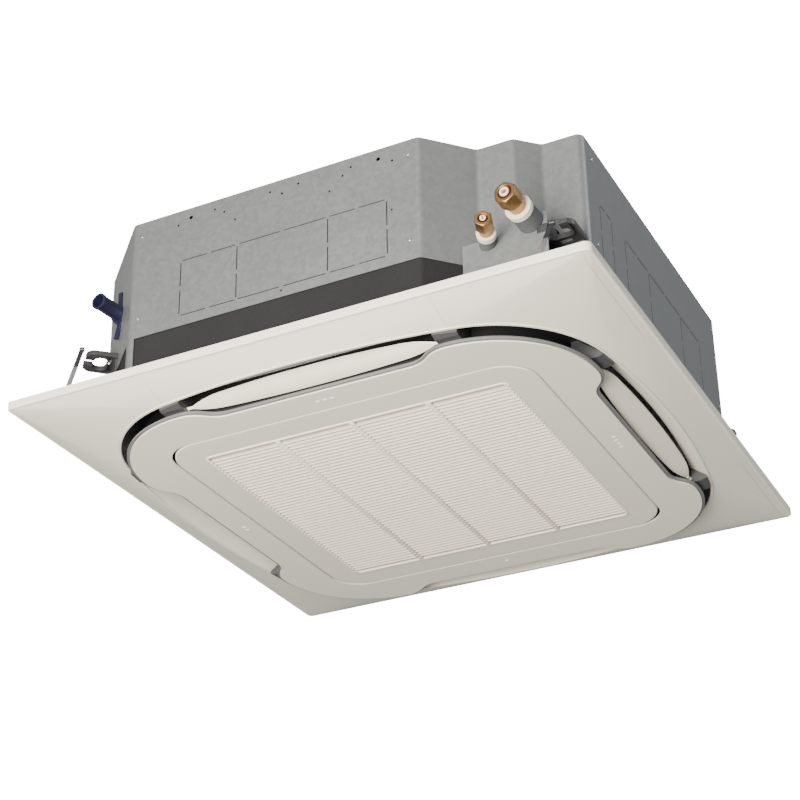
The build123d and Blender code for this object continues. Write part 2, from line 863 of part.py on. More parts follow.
def hinge_places(start, stop):
    """Spans along X between start and stop from the middle of each hinge, on both its sides."""
    return [
        (hinge + side * (start + stop) / 2, stop - start)
        for hinge in (-hinge_x, hinge_x)
        for side in (-1, 1)
    ]


def hinge_rod(middle, length, radius, mode=Mode.ADD):
    """A round bar on the grille's hinge axis."""
    with BuildSketch(hinge_plane.offset(middle)) as section:
        Circle(radius)
    extrude(section.sketch, amount=length / 2, both=True, mode=mode)


lug_inner = arm_half + lug_gap
lug_outer = lug_inner + lug_width
with BuildPart() as grille_frame:
    square_prism(grille_half, grille_corner, -face_depth, -face_depth + grille_face)
    fillet(grille_frame.faces().sort_by(Axis.Z)[0].edges(), radius=grille_edge_rounding)
    with BuildSketch(Plane.XY.offset(-face_depth + grille_face)) as rim_ring:
        RectangleRounded(2 * grille_half, 2 * grille_half, grille_corner)
        RectangleRounded(
            2 * (grille_half - grille_rim), 2 * (grille_half - grille_rim), grille_corner - grille_rim,
            mode=Mode.SUBTRACT,
        )
        for hinge in (-hinge_x, hinge_x):
            with Locations((hinge, -grille_half)):
                Rectangle(hinge_arm_width + 2 * hinge_notch_gap, 2 * grille_rim, mode=Mode.SUBTRACT)
        with Locations((0, 0)):
            RectangleRounded(
                2 * (louvre_half + grille_rim), 2 * (louvre_half + grille_rim), louvre_corner + grille_rim
            )
    extrude(rim_ring.sketch, amount=face_depth - grille_face - grille_rim_top)
    square_prism(louvre_half, louvre_corner, -face_depth, -grille_rim_top, Mode.SUBTRACT)
    for middle, length in hinge_places(lug_inner, lug_outer):
        slab(
            (middle - length / 2, middle + length / 2),
            (-hinge_y - lug_half, -hinge_y + lug_half),
            (-face_depth + grille_face, -hinge_depth + lug_half),
        )
    for hinge in (-hinge_x, hinge_x):
        hinge_rod(hinge, 2 * lug_outer, hinge_pin_radius, Mode.SUBTRACT)
grille_frame.part.label = "grille_frame"
export_step(grille_frame.part, "parts/grille_frame.step")

with BuildPart() as grille_hinge_pins:
    for hinge in (-hinge_x, hinge_x):
        hinge_rod(hinge, 2 * lug_outer, hinge_pin_radius)
grille_hinge_pins.part.label = "grille_hinge_pins"
export_step(grille_hinge_pins.part, "parts/grille_hinge_pins.step")

# goosenecks on the inner panel, which reach over the grille's edge to the pins
with BuildPart() as hinge_brackets:
    panel_foot = -grille_opening - hinge_foot_gap
    for hinge in (-hinge_x, hinge_x):
        span = (hinge - arm_half, hinge + arm_half)
        eye_end = -hinge_y + hinge_eye_radius
        slab(span, (-hinge_y - hinge_eye_radius, eye_end), (-hinge_depth, -hinge_arm_rise))
        arm_top = -hinge_arm_rise + hinge_arm_plate
        slab(span, (panel_foot - hinge_arm_plate, eye_end), (-hinge_arm_rise, arm_top))
        slab(span, (panel_foot - hinge_arm_plate, panel_foot), (-inner_top, -hinge_arm_rise))
        slab(span, (panel_foot - hinge_foot, panel_foot), (-inner_top, -inner_top + hinge_arm_plate))
        hinge_rod(hinge, hinge_arm_width, hinge_eye_radius)
        hinge_rod(hinge, hinge_arm_width, hinge_pin_radius + running_gap, Mode.SUBTRACT)
hinge_brackets.part.label = "hinge_brackets"
export_step(hinge_brackets.part, "parts/hinge_brackets.step")

# spring leaves on the inner panel, whose round noses bear on the grille's free edge
with BuildPart() as grille_catches:
    leaf_y = grille_half + catch_gap + catch_bump
    for x_place in (-catch_x, catch_x):
        span = (x_place - catch_width / 2, x_place + catch_width / 2)
        slab(span, (leaf_y, leaf_y + catch_leaf), (-inner_top, -catch_top))
        slab(span, (leaf_y, leaf_y + catch_foot), (-inner_top, -inner_top + catch_leaf))
        nose_plane = Plane(origin=(x_place, leaf_y, -catch_nose), x_dir=(0, 1, 0), z_dir=(1, 0, 0))
        with BuildSketch(nose_plane) as nose:
            Circle(catch_bump)
            with Locations((catch_bump, 0)):
                Rectangle(2 * catch_bump, 2 * catch_bump, mode=Mode.SUBTRACT)
        extrude(nose.sketch, amount=catch_width / 2, both=True)
grille_catches.part.label = "grille_catches"
export_step(grille_catches.part, "parts/grille_catches.step")

louvre_edge = louvre_half - louvre_fit
louvre_inside = louvre_edge - louvre_border
slat_count = int((2 * louvre_inside - slat_chord) // slat_pitch)
rib_places = [index * rib_pitch for index in (-1, 0, 1)]
with BuildPart() as grille_louvre:
    with BuildSketch(Plane.YZ.offset(-louvre_inside - louvre_border / 2)) as slat_sketch:
        with Locations((0, -face_depth + louvre_rise)):
            with GridLocations(slat_pitch, slat_pitch, slat_count, 1):
                Rectangle(slat_chord, slat_thickness, rotation=slat_tilt)
    extrude(slat_sketch.sketch, amount=2 * louvre_inside + louvre_border)
    with BuildSketch(Plane.XY.offset(-face_depth)) as border_sketch:
        RectangleRounded(2 * louvre_edge, 2 * louvre_edge, louvre_corner - louvre_fit)
        RectangleRounded(
            2 * louvre_inside,
            2 * louvre_inside,
            louvre_corner - louvre_fit - louvre_border,
            mode=Mode.SUBTRACT,
        )
        with Locations(*[(place, 0) for place in rib_places]):
            Rectangle(rib_thickness, 2 * louvre_inside + louvre_border)
    extrude(border_sketch.sketch, amount=louvre_height)
grille_louvre.part.label = "grille_louvre"
export_step(grille_louvre.part, "parts/grille_louvre.step")

filter_bottom = -face_depth + louvre_height + seat_gap
with BuildPart() as filter_frame:
    with BuildSketch(Plane.XY.offset(filter_bottom)) as filter_ring:
        Rectangle(2 * filter_half, 2 * filter_half)
        Rectangle(2 * (filter_half - filter_border), 2 * (filter_half - filter_border), mode=Mode.SUBTRACT)
        with Locations(*[(place, 0) for place in rib_places]):
            Rectangle(filter_rib, 2 * filter_half)
    extrude(filter_ring.sketch, amount=filter_thickness)
    with BuildSketch(Plane.XY.offset(filter_bottom + filter_seat)) as net_room:
        Rectangle(2 * (filter_half - filter_border / 2), 2 * (filter_half - filter_border / 2))
    extrude(net_room.sketch, amount=filter_thickness - filter_seat, mode=Mode.SUBTRACT)
filter_frame.part.label = "filter_frame"
export_step(filter_frame.part, "parts/filter_frame.step")

with BuildPart() as filter_net:
    with BuildSketch(Plane.XY.offset(filter_bottom + filter_seat)) as net_sketch:
        net_side = filter_mesh_count * filter_mesh_pitch + filter_mesh_pitch - filter_mesh_hole
        Rectangle(net_side, net_side)
        with GridLocations(filter_mesh_pitch, filter_mesh_pitch, filter_mesh_count, filter_mesh_count):
            Rectangle(filter_mesh_hole, filter_mesh_hole, mode=Mode.SUBTRACT)
    extrude(net_sketch.sketch, amount=filter_sheet)
filter_net.part.label = "filter_net"
export_step(filter_net.part, "parts/filter_net.step")

# ---- housing ----------------------------------------------------------------------------------
leg_places = []
for corner, quarter_sign in ((chamfer_end, body_half), (body_half, chamfer_end)):
    for x_sign, y_sign in ((1, 1), (-1, 1), (-1, -1)):
        leg_places.append((x_sign * corner, y_sign * quarter_sign))

front_plane = Plane(origin=(0, -body_half, 0), x_dir=(1, 0, 0), z_dir=(0, -1, 0))
right_plane = Plane(origin=(body_half, 0, 0), x_dir=(0, 1, 0), z_dir=(1, 0, 0))
rear_plane = Plane(origin=(0, body_half, 0), x_dir=(-1, 0, 0), z_dir=(0, 1, 0))
left_plane = Plane(origin=(-body_half, 0, 0), x_dir=(0, -1, 0), z_dir=(-1, 0, 0))
socket_axis = pipe_axis((socket_x, socket_y, socket_z), -socket_turn)

wall_bends = (
    (body_half, chamfer_end),
    (chamfer_end, body_half),
    (-chamfer_end, body_half),
    (-body_half, chamfer_end),
    (recess_left, -body_half),
    (recess_foot, recess_y),
    (recess_heel, recess_y),
    (recess_end, recess_back),
    (body_half, recess_back),
)


def cut_at_bends():
    """Cut the part being built into plates, along upright planes from the centre through its bends."""
    for bend_x, bend_y in wall_bends:
        split(bisect_by=Plane(origin=(0, 0, 0), z_dir=(-bend_y, bend_x, 0)), keep=Keep.BOTH)


with BuildPart() as casing:
    with BuildSketch(Plane.XY.offset(sheet_bottom)) as wall_sketch:
        casing_face(0)
        casing_face(sheet, Mode.SUBTRACT)
    extrude(wall_sketch.sketch, amount=body_height - sheet_bottom)
    with BuildSketch(Plane.XY.offset(body_height - sheet)) as flange_sketch:
        casing_face(0)
        casing_face(top_flange, Mode.SUBTRACT)
    extrude(flange_sketch.sketch, amount=sheet)
    with BuildSketch(mode=Mode.PRIVATE) as leg_windows:
        with Locations(*leg_places):
            Rectangle(leg_width, leg_width)
    with BuildSketch() as leg_sketch:
        casing_face(0)
        casing_face(sheet, Mode.SUBTRACT)
        add(leg_windows.sketch, mode=Mode.INTERSECT)
    extrude(leg_sketch.sketch, amount=sheet_bottom)
    for plane, edges in (
        (front_plane, front_blank_edges),
        (right_plane, right_blank_edges),
        (right_plane, small_blank_edges),
        (rear_plane, rear_blank_edges),
        (left_plane, rear_blank_edges),
    ):
        with BuildSketch(plane) as slit_sketch:
            blank_slits(edges)
        extrude(slit_sketch.sketch, amount=-2 * sheet, mode=Mode.SUBTRACT)
    with BuildSketch(front_plane) as hole_sketch:
        with Locations(*small_hole_places):
            Circle(small_hole_radius)
        with Locations(*large_hole_places):
            Circle(large_hole_radius)
    extrude(hole_sketch.sketch, amount=-2 * sheet, mode=Mode.SUBTRACT)
    pipe_ring(gas_axis, gas_sleeve_radius + sleeve_hole_gap, 0, -pipe_back, 0, Mode.SUBTRACT)
    pipe_ring(liquid_axis, liquid_sleeve_radius + sleeve_hole_gap, 0, -pipe_back, 0, Mode.SUBTRACT)
    pipe_ring(socket_axis, socket_radius + seat_gap, 0, -socket_room, socket_room, Mode.SUBTRACT)
    split(bisect_by=Plane.XY.offset(body_height - sheet), keep=Keep.BOTH)
    cut_at_bends()
casing.part.label = "casing"
export_step(casing.part, "parts/casing.step")

plate_low = body_height - sheet - top_plate_thickness
with BuildPart() as top_plate:
    with BuildSketch(Plane.XY.offset(plate_low)) as plate_face:
        casing_face(sheet + seat_gap)
    extrude(plate_face.sketch, amount=top_plate_thickness)
    with BuildSketch(Plane.XY.offset(plate_low + top_plate_thickness)) as rib_sketch:
        with GridLocations(rib_spacing, rib_spacing, rib_count, 1):
            RectangleRounded(rib_width, rib_length, rib_corner)
    extrude(rib_sketch.sketch, amount=rib_height)
top_plate.part.label = "top_plate"
export_step(top_plate.part, "parts/top_plate.step")

with BuildPart() as foam_base:
    with BuildSketch() as base_sketch:
        casing_face(foam_inset)
        casing_face(foam_total, Mode.SUBTRACT)
    extrude(base_sketch.sketch, amount=sheet_bottom)
    for x_sign, y_sign in corner_signs:
        rod((x_sign * screw_s, y_sign * screw_t, 0), screw_shank_radius, screw_top, Mode.SUBTRACT)
    pipe_ring(liquid_axis, liquid_sleeve_radius + sleeve_hole_gap, 0, -pipe_back, 0, Mode.SUBTRACT)
foam_base.part.label = "foam_base"
export_step(foam_base.part, "parts/foam_base.step")

with BuildPart() as foam_liner:
    with BuildSketch(Plane.XY.offset(sheet_bottom)) as liner_sketch:
        casing_face(sheet + seat_gap)
        casing_face(foam_total, Mode.SUBTRACT)
    extrude(liner_sketch.sketch, amount=foam_top - sheet_bottom)
    pipe_ring(gas_axis, gas_sleeve_radius + sleeve_hole_gap, 0, -pipe_back, 0, Mode.SUBTRACT)
    pipe_ring(liquid_axis, liquid_sleeve_radius + sleeve_hole_gap, 0, -pipe_back, 0, Mode.SUBTRACT)
    pipe_ring(socket_axis, socket_radius + seat_gap, 0, -socket_room, socket_room, Mode.SUBTRACT)
    cut_at_bends()
foam_liner.part.label = "foam_liner"
export_step(foam_liner.part, "parts/foam_liner.step")

sump_floor = pan_top - sump_depth
with BuildPart() as drain_pan:
    with BuildSketch(Plane.XY.offset(pan_bottom)) as pan_sketch:
        casing_face(foam_total + seat_gap)
        RectangleRounded(2 * pan_eye_half, 2 * pan_eye_half, pan_eye_corner, mode=Mode.SUBTRACT)
    extrude(pan_sketch.sketch, amount=pan_top - pan_bottom)
    square_prism(pan_pocket_half, pocket_corner, pan_bottom, pan_underside, Mode.SUBTRACT)
    outlet_slots(outlet_inner, body_half, outlet_half_length, pan_bottom, pan_top)
    tray_outside = coil_half + tray_margin
    tray_inside = coil_inner - tray_margin
    with BuildSketch(Plane.XY.offset(tray_bottom)) as tray_sketch:
        RectangleRounded(2 * tray_outside, 2 * tray_outside, coil_corner + tray_margin)
        RectangleRounded(
            2 * tray_inside,
            2 * tray_inside,
            coil_corner - coil_depth - tray_margin,
            mode=Mode.SUBTRACT,
        )
    extrude(tray_sketch.sketch, amount=pan_top - tray_bottom, mode=Mode.SUBTRACT)
    rod((-pump_place, -pump_place, sump_floor), pump_radius + sump_margin, sump_depth, Mode.SUBTRACT)
    rod((float_x, float_y, sump_floor), float_radius + sump_margin, sump_depth, Mode.SUBTRACT)
    slab((-pump_place, float_x), (float_y - float_radius, -pump_place), (sump_floor, pan_top), Mode.SUBTRACT)
drain_pan.part.label = "drain_pan"
export_step(drain_pan.part, "parts/drain_pan.step")

# ---- heat exchanger ---------------------------------------------------------------------------
coil_middle = coil_half - coil_depth / 2
with BuildPart() as coil_fins:
    with BuildSketch(Plane.XY.offset(tray_bottom)) as fin_sketch:
        RectangleRounded(2 * coil_half, 2 * coil_half, coil_corner)
        RectangleRounded(2 * coil_inner, 2 * coil_inner, coil_corner - coil_depth, mode=Mode.SUBTRACT)
        with Locations((coil_gap, -coil_gap)):
            Rectangle(coil_half, coil_half, align=(Align.MIN, Align.MAX), mode=Mode.SUBTRACT)
    extrude(fin_sketch.sketch, amount=coil_top - tray_bottom)
coil_fins.part.label = "coil_fins"
export_step(coil_fins.part, "parts/coil_fins.step")

with BuildPart() as coil_end_plates:
    slab((coil_gap, coil_gap + coil_plate), (-coil_half, -coil_inner), (tray_bottom, coil_top))
    slab((coil_inner, coil_half), (-coil_gap - coil_plate, -coil_gap), (tray_bottom, coil_top))
coil_end_plates.part.label = "coil_end_plates"
export_step(coil_end_plates.part, "parts/coil_end_plates.step")

row_pitch = (coil_top - tray_bottom) / bend_rows
with BuildPart() as coil_bends:
    for row in range(bend_rows):
        middle_z = tray_bottom + (row + 0.5) * row_pitch
        for column in (-0.5, 0.5):
            across = coil_middle + column * bend_column_pitch
            for centre, facing in (
                (Vector(coil_gap + coil_plate, -across, middle_z), Vector(1, 0, 0)),
                (Vector(across, -coil_gap - coil_plate, middle_z), Vector(0, -1, 0)),
            ):
                foot = centre - Vector(0, 0, bend_rise / 2)
                with BuildSketch(Plane(origin=foot, x_dir=(0, 0, 1), z_dir=facing)) as tube_section:
                    Circle(bend_tube_radius)
                turn_axis = Axis(centre, facing.cross(Vector(0, 0, 1)))
                revolve(tube_section.sketch, axis=turn_axis, revolution_arc=180)
coil_bends.part.label = "coil_bends"
export_step(coil_bends.part, "parts/coil_bends.step")

feeder_levels = [tray_bottom + (row + 1) * row_pitch for row in range(bend_rows - 1)]
with BuildPart() as gas_header:
    rod((coil_middle, header_y, header_low), header_radius, header_high - header_low)
    for level in feeder_levels:
        feeder_plane = Plane(origin=(coil_middle, header_y, level), x_dir=(1, 0, 0), z_dir=(0, 1, 0))
        with BuildSketch(feeder_plane) as feeder:
            Circle(feeder_radius)
        extrude(feeder.sketch, amount=-coil_gap - coil_plate - header_y)
gas_header.part.label = "gas_header"
export_step(gas_header.part, "parts/gas_header.step")

with BuildPart() as liquid_header:
    rod((distributor_x, -coil_middle, header_low), distributor_radius, distributor_high - header_low)
    for level in feeder_levels[:liquid_feeders]:
        feeder_plane = Plane(origin=(coil_gap + coil_plate, -coil_middle, level), z_dir=(1, 0, 0))
        with BuildSketch(feeder_plane) as feeder:
            Circle(feeder_radius)
        extrude(feeder.sketch, amount=distributor_x - coil_gap - coil_plate)
liquid_header.part.label = "liquid_header"
export_step(liquid_header.part, "parts/liquid_header.step")

# ---- fan --------------------------------------------------------------------------------------
bell_plate_low = pan_underside - bell_wall
with BuildPart() as bell_mouth:
    with BuildSketch(Plane.XZ) as bell_profile:
        with BuildLine():
            flare_centre = (eye_radius + bell_flare, bell_plate_low + bell_flare)
            Line((eye_radius, bell_top), (eye_radius + bell_wall, bell_top))
            Line((eye_radius + bell_wall, bell_top), (eye_radius + bell_wall, flare_centre[1]))
            CenterArc(flare_centre, bell_flare - bell_wall, 180, 90)
            Line((flare_centre[0], pan_underside), (flare_centre[0], bell_plate_low))
            CenterArc(flare_centre, bell_flare, 180, 90)
            Line((eye_radius, flare_centre[1]), (eye_radius, bell_top))
        make_face()
    revolve(bell_profile.sketch, axis=Axis.Z)
    with BuildSketch(Plane.XY.offset(bell_plate_low)) as bell_plate:
        RectangleRounded(2 * bell_plate_half, 2 * bell_plate_half, pan_eye_corner)
        Circle(flare_centre[0], mode=Mode.SUBTRACT)
    extrude(bell_plate.sketch, amount=bell_wall)
bell_mouth.part.label = "bell_mouth"
export_step(bell_mouth.part, "parts/bell_mouth.step")

hub_low = fan_top - fan_plate
shroud_start = (shroud_inner_radius, shroud_bottom)
shroud_end = (fan_radius, shroud_edge)
with BuildPart() as fan_wheel:
    with BuildSketch() as blade_sketch:
        with PolarLocations(0, fan_blades):
            with BuildLine(mode=Mode.PRIVATE) as blade_line:
                ThreePointArc(
                    (fan_blade_root, 0),
                    Vector(fan_blade_middle, 0).rotate(Axis.Z, -fan_sweep_middle),
                    Vector(fan_radius - fan_plate, 0).rotate(Axis.Z, -fan_blade_sweep),
                )
            trace(blade_line.edges(), line_width=fan_blade_thickness)
    extrude(blade_sketch.sketch, amount=fan_top - fan_plate)
    with BuildSketch(Plane.XZ) as under_shroud:
        with BuildLine():
            RadiusArc(shroud_start, shroud_end, shroud_bow)
            Polyline(
                shroud_end,
                (panel_half, shroud_edge),
                (panel_half, 0),
                (0, 0),
                (0, shroud_bottom),
                shroud_start,
            )
        make_face()
    revolve(under_shroud.sketch, axis=Axis.Z, mode=Mode.SUBTRACT)
    with BuildSketch(Plane.XZ) as shroud_profile:
        with BuildLine() as shroud_line:
            RadiusArc(shroud_start, shroud_end, shroud_bow)
        trace(shroud_line.edges(), line_width=shroud_wall)
    revolve(shroud_profile.sketch, axis=Axis.Z)
    with BuildSketch(Plane.XZ) as hub_profile:
        with BuildLine():
            Polyline(
                (drive_shaft_radius, boss_low),
                (fan_boss_radius, boss_low),
                (fan_boss_radius, cup_floor),
                (cup_radius, cup_floor),
                (cup_radius, hub_low),
                (fan_radius, hub_low),
                (fan_radius, fan_top),
                (cup_radius - fan_plate, fan_top),
                (cup_radius - fan_plate, cup_floor + fan_plate),
                (fan_boss_radius, cup_floor + fan_plate),
                (fan_boss_radius, boss_low + fan_boss_height),
                (drive_shaft_radius, boss_low + fan_boss_height),
                close=True,
            )
        make_face()
    revolve(hub_profile.sketch, axis=Axis.Z)
fan_wheel.part.label = "fan_wheel"
export_step(fan_wheel.part, "parts/fan_wheel.step")

with BuildPart() as drive_shaft:
    rod((0, 0, drive_shaft_bottom), drive_shaft_radius, drive_shaft_top - drive_shaft_bottom)
drive_shaft.part.label = "drive_shaft"
export_step(drive_shaft.part, "parts/drive_shaft.step")

motor_top = motor_bottom + motor_height
with BuildPart() as fan_motor:
    rod((0, 0, motor_bottom), motor_radius, motor_height)
    fillet(fan_motor.edges().filter_by(GeomType.CIRCLE), radius=motor_rounding)
    shaft_room = drive_shaft_top - motor_bottom + seat_gap
    rod((0, 0, motor_bottom), drive_shaft_radius + running_gap, shaft_room, Mode.SUBTRACT)
fan_motor.part.label = "fan_motor"
export_step(fan_motor.part, "parts/fan_motor.step")

with BuildPart() as motor_mounts:
    with BuildSketch(Plane.XY.offset(motor_top)) as mount_sketch:
        with PolarLocations(mount_circle, mount_count, start_angle=mount_turn):
            Circle(mount_radius)
    extrude(mount_sketch.sketch, amount=plate_low - motor_top)
motor_mounts.part.label = "motor_mounts"
export_step(motor_mounts.part, "parts/motor_mounts.step")

# ---- controls ---------------------------------------------------------------------------------
control_x = (-control_length / 2, control_length / 2)
control_y = (-control_outer, -control_inner)
control_high = pan_underside - seat_gap
with BuildPart() as control_box:
    slab(control_x, control_y, (-control_floor, control_high))
    slab(
        (control_x[0] + control_wall, control_x[1] - control_wall),
        (control_y[0] + control_wall, control_y[1] - control_wall),
        (-control_floor, control_high - control_wall),
        Mode.SUBTRACT,
    )
control_box.part.label = "control_box"
export_step(control_box.part, "parts/control_box.step")

with BuildPart() as control_cover:
    slab(control_x, control_y, (-control_floor - control_wall, -control_floor))
control_cover.part.label = "control_cover"
export_step(control_cover.part, "parts/control_cover.step")

with BuildPart() as circuit_board:
    board_x = (control_x[0] + control_wall + board_margin, control_x[1] - control_wall - board_margin)
    board_y = (control_y[0] + control_wall + board_margin, control_y[1] - control_wall - board_margin)
    slab(board_x, board_y, (board_level, board_level + board_thickness))
    for x_place in (board_x[0] + board_margin, board_x[1] - board_margin):
        for y_place in (board_y[0] + board_margin, board_y[1] - board_margin):
            post_height = control_high - control_wall - board_level - board_thickness
            rod((x_place, y_place, board_level + board_thickness), post_radius, post_height)
    board_middle = (board_y[0] + board_y[1]) / 2
    for index in range(capacitor_count):
        place = capacitor_pitch * (index - (capacitor_count - 1) / 2)
        rod((place, board_middle, board_level - capacitor_height), capacitor_radius, capacitor_height)
circuit_board.part.label = "circuit_board"
export_step(circuit_board.part, "parts/circuit_board.step")

# ---- drain ------------------------------------------------------------------------------------
nozzle_place = socket_axis.origin - socket_axis.z_dir * nozzle_back
with BuildPart() as drain_pump:
    rod((-pump_place, -pump_place, sump_floor), pump_radius, pump_head - sump_floor)
    rod((nozzle_place.X, nozzle_place.Y, pump_head - pump_arm), pump_arm_radius, pump_arm)
    rod((nozzle_place.X, nozzle_place.Y, pump_head), hose_bore - seat_gap / 2, nozzle_height)
drain_pump.part.label = "drain_pump"
export_step(drain_pump.part, "parts/drain_pump.step")

with BuildPart() as drain_hose:
    hose_end = socket_axis.origin - socket_axis.z_dir * (socket_back - hose_insert)
    with BuildLine() as hose_line:
        FilletPolyline(
            (nozzle_place.X, nozzle_place.Y, pump_head),
            (nozzle_place.X, nozzle_place.Y, socket_z),
            hose_end,
            radius=hose_bend,
        )
    hose_start = Plane(origin=(nozzle_place.X, nozzle_place.Y, pump_head))
    with BuildSketch(hose_start) as hose_section:
        Circle(hose_radius)
        Circle(hose_bore, mode=Mode.SUBTRACT)
    sweep(hose_section.sketch, path=hose_line.wire())
drain_hose.part.label = "drain_hose"
export_step(drain_hose.part, "parts/drain_hose.step")

with BuildPart() as drain_socket:
    pipe_ring(socket_axis, socket_radius, 0, -socket_end, socket_length)
    pipe_ring(socket_axis, hose_bore - seat_gap / 2, 0, -socket_back, -socket_end)
    flange_plane = Plane(origin=socket_axis.origin, x_dir=(0, 0, 1), z_dir=(-1, -1, 0))
    with BuildSketch(flange_plane) as flange_sketch:
        RectangleRounded(socket_flange_height, socket_flange_width, socket_flange_corner)
    extrude(flange_sketch.sketch, amount=socket_flange_thickness)
    pipe_ring(socket_axis, socket_bore, 0, socket_end_wall - socket_end, socket_length, Mode.SUBTRACT)
    pipe_ring(socket_axis, spigot_bore, 0, -socket_back, socket_length, Mode.SUBTRACT)
drain_socket.part.label = "drain_socket"
export_step(drain_socket.part, "parts/drain_socket.step")

with BuildPart() as drain_collar:
    collar_start = socket_length - socket_collar_length
    pipe_ring(socket_axis, socket_collar_radius, socket_radius + running_gap, collar_start, socket_length)
drain_collar.part.label = "drain_collar"
export_step(drain_collar.part, "parts/drain_collar.step")

stem_foot = sump_floor + float_lift
with BuildPart() as float_switch:
    rod((float_x, float_y, stem_foot), float_stem_radius, float_stem_top - stem_foot)
    rod((float_x, float_y, stem_foot), float_stop_radius, float_bracket)
    rod((float_x, float_y, float_stem_top - float_cap), float_radius, float_cap)
    slab(
        (float_x - float_radius, float_x + float_radius),
        (-body_half + foam_total + seat_gap, float_y),
        (float_stem_top - float_bracket, float_stem_top),
    )
float_switch.part.label = "float_switch"
export_step(float_switch.part, "parts/float_switch.step")

with BuildPart() as float_body:
    float_low = sump_floor + float_lift + float_bracket + seat_gap
    rod((float_x, float_y, float_low), float_radius, float_height)
    rod((float_x, float_y, float_low), float_stem_radius + running_gap, float_height, Mode.SUBTRACT)
float_body.part.label = "float_body"
export_step(float_body.part, "parts/float_body.step")

# ---- refrigerant pipes ------------------------------------------------------------------------
gas_corner = gas_axis.origin - gas_axis.z_dir * ((header_y - gas_root[1]) / -gas_axis.z_dir.Y)
with BuildPart() as gas_pipe:
    with BuildLine() as gas_line:
        FilletPolyline(
            (coil_middle, header_y, gas_root[2]),
            gas_corner,
            gas_axis.origin + gas_axis.z_dir * (gas_reach - plug_length),
            radius=pipe_elbow,
        )
    gas_start = Plane(origin=(coil_middle, header_y, gas_root[2]), x_dir=(0, 0, 1), z_dir=(1, 0, 0))
    with BuildSketch(gas_start) as gas_section:
        Circle(gas_radius)
    sweep(gas_section.sketch, path=gas_line.wire())
    rod((coil_middle, header_y, header_low), header_radius, header_high - header_low, Mode.SUBTRACT)
gas_pipe.part.label = "gas_pipe"
export_step(gas_pipe.part, "parts/gas_pipe.step")

with BuildPart() as liquid_pipe:
    pipe_ring(liquid_axis, liquid_radius, 0, -liquid_back, liquid_reach - plug_length)
    distributor_height = distributor_high - header_low
    rod((distributor_x, -coil_middle, header_low), distributor_radius, distributor_height, Mode.SUBTRACT)
liquid_pipe.part.label = "liquid_pipe"
export_step(liquid_pipe.part, "parts/liquid_pipe.step")

with BuildPart() as gas_sleeve:
    gas_bore = gas_radius + sleeve_fit
    pipe_ring(gas_axis, gas_sleeve_radius, gas_bore, -gas_sleeve_back, gas_sleeve_reach)
gas_sleeve.part.label = "gas_sleeve"
export_step(gas_sleeve.part, "parts/gas_sleeve.step")

with BuildPart() as liquid_sleeve:
    liquid_bore = liquid_radius + sleeve_fit
    pipe_ring(liquid_axis, liquid_sleeve_radius, liquid_bore, -liquid_sleeve_back, liquid_sleeve_reach)
liquid_sleeve.part.label = "liquid_sleeve"
export_step(liquid_sleeve.part, "parts/liquid_sleeve.step")

with BuildPart() as pipe_collars:
    gas_collar_end = gas_sleeve_reach + collar_length
    liquid_collar_end = liquid_sleeve_reach + collar_length
    pipe_ring(gas_axis, gas_collar_radius, gas_bore, gas_sleeve_reach, gas_collar_end)
    pipe_ring(liquid_axis, liquid_collar_radius, liquid_bore, liquid_sleeve_reach, liquid_collar_end)
pipe_collars.part.label = "pipe_collars"
export_step(pipe_collars.part, "parts/pipe_collars.step")


def flare_nut(plane, flats, length, bore, reach):
    """A hexagon nut with a tapered shoulder, whose free end lies at reach along the pipe."""
    shoulder = length * nut_shoulder_share
    with BuildPart() as nut:
        with BuildSketch(plane.offset(reach - length + shoulder)) as hexagon:
            RegularPolygon(flats / 2, 6, major_radius=False)
        extrude(hexagon.sketch, amount=length - shoulder)
        with BuildSketch(plane.offset(reach - length + shoulder)) as shoulder_base:
            Circle(flats / 2)
        extrude(shoulder_base.sketch, amount=-shoulder, taper=nut_taper)
        pipe_ring(plane, bore, 0, reach - length, reach, Mode.SUBTRACT)
    return nut.part


gas_nut = flare_nut(gas_axis, gas_nut_flats, gas_nut_length, gas_bore, gas_reach - plug_length)
liquid_end = liquid_reach - plug_length
liquid_nut = flare_nut(liquid_axis, liquid_nut_flats, liquid_nut_length, liquid_bore, liquid_end)
with BuildPart() as flare_nuts:
    add(gas_nut)
    add(liquid_nut)
flare_nuts.part.label = "flare_nuts"
export_step(flare_nuts.part, "parts/flare_nuts.step")

with BuildPart() as pipe_plugs:
    pipe_ring(gas_axis, gas_radius, 0, gas_reach - plug_length, gas_reach)
    pipe_ring(liquid_axis, liquid_radius, 0, liquid_reach - plug_length, liquid_reach)
pipe_plugs.part.label = "pipe_plugs"
export_step(pipe_plugs.part, "parts/pipe_plugs.step")

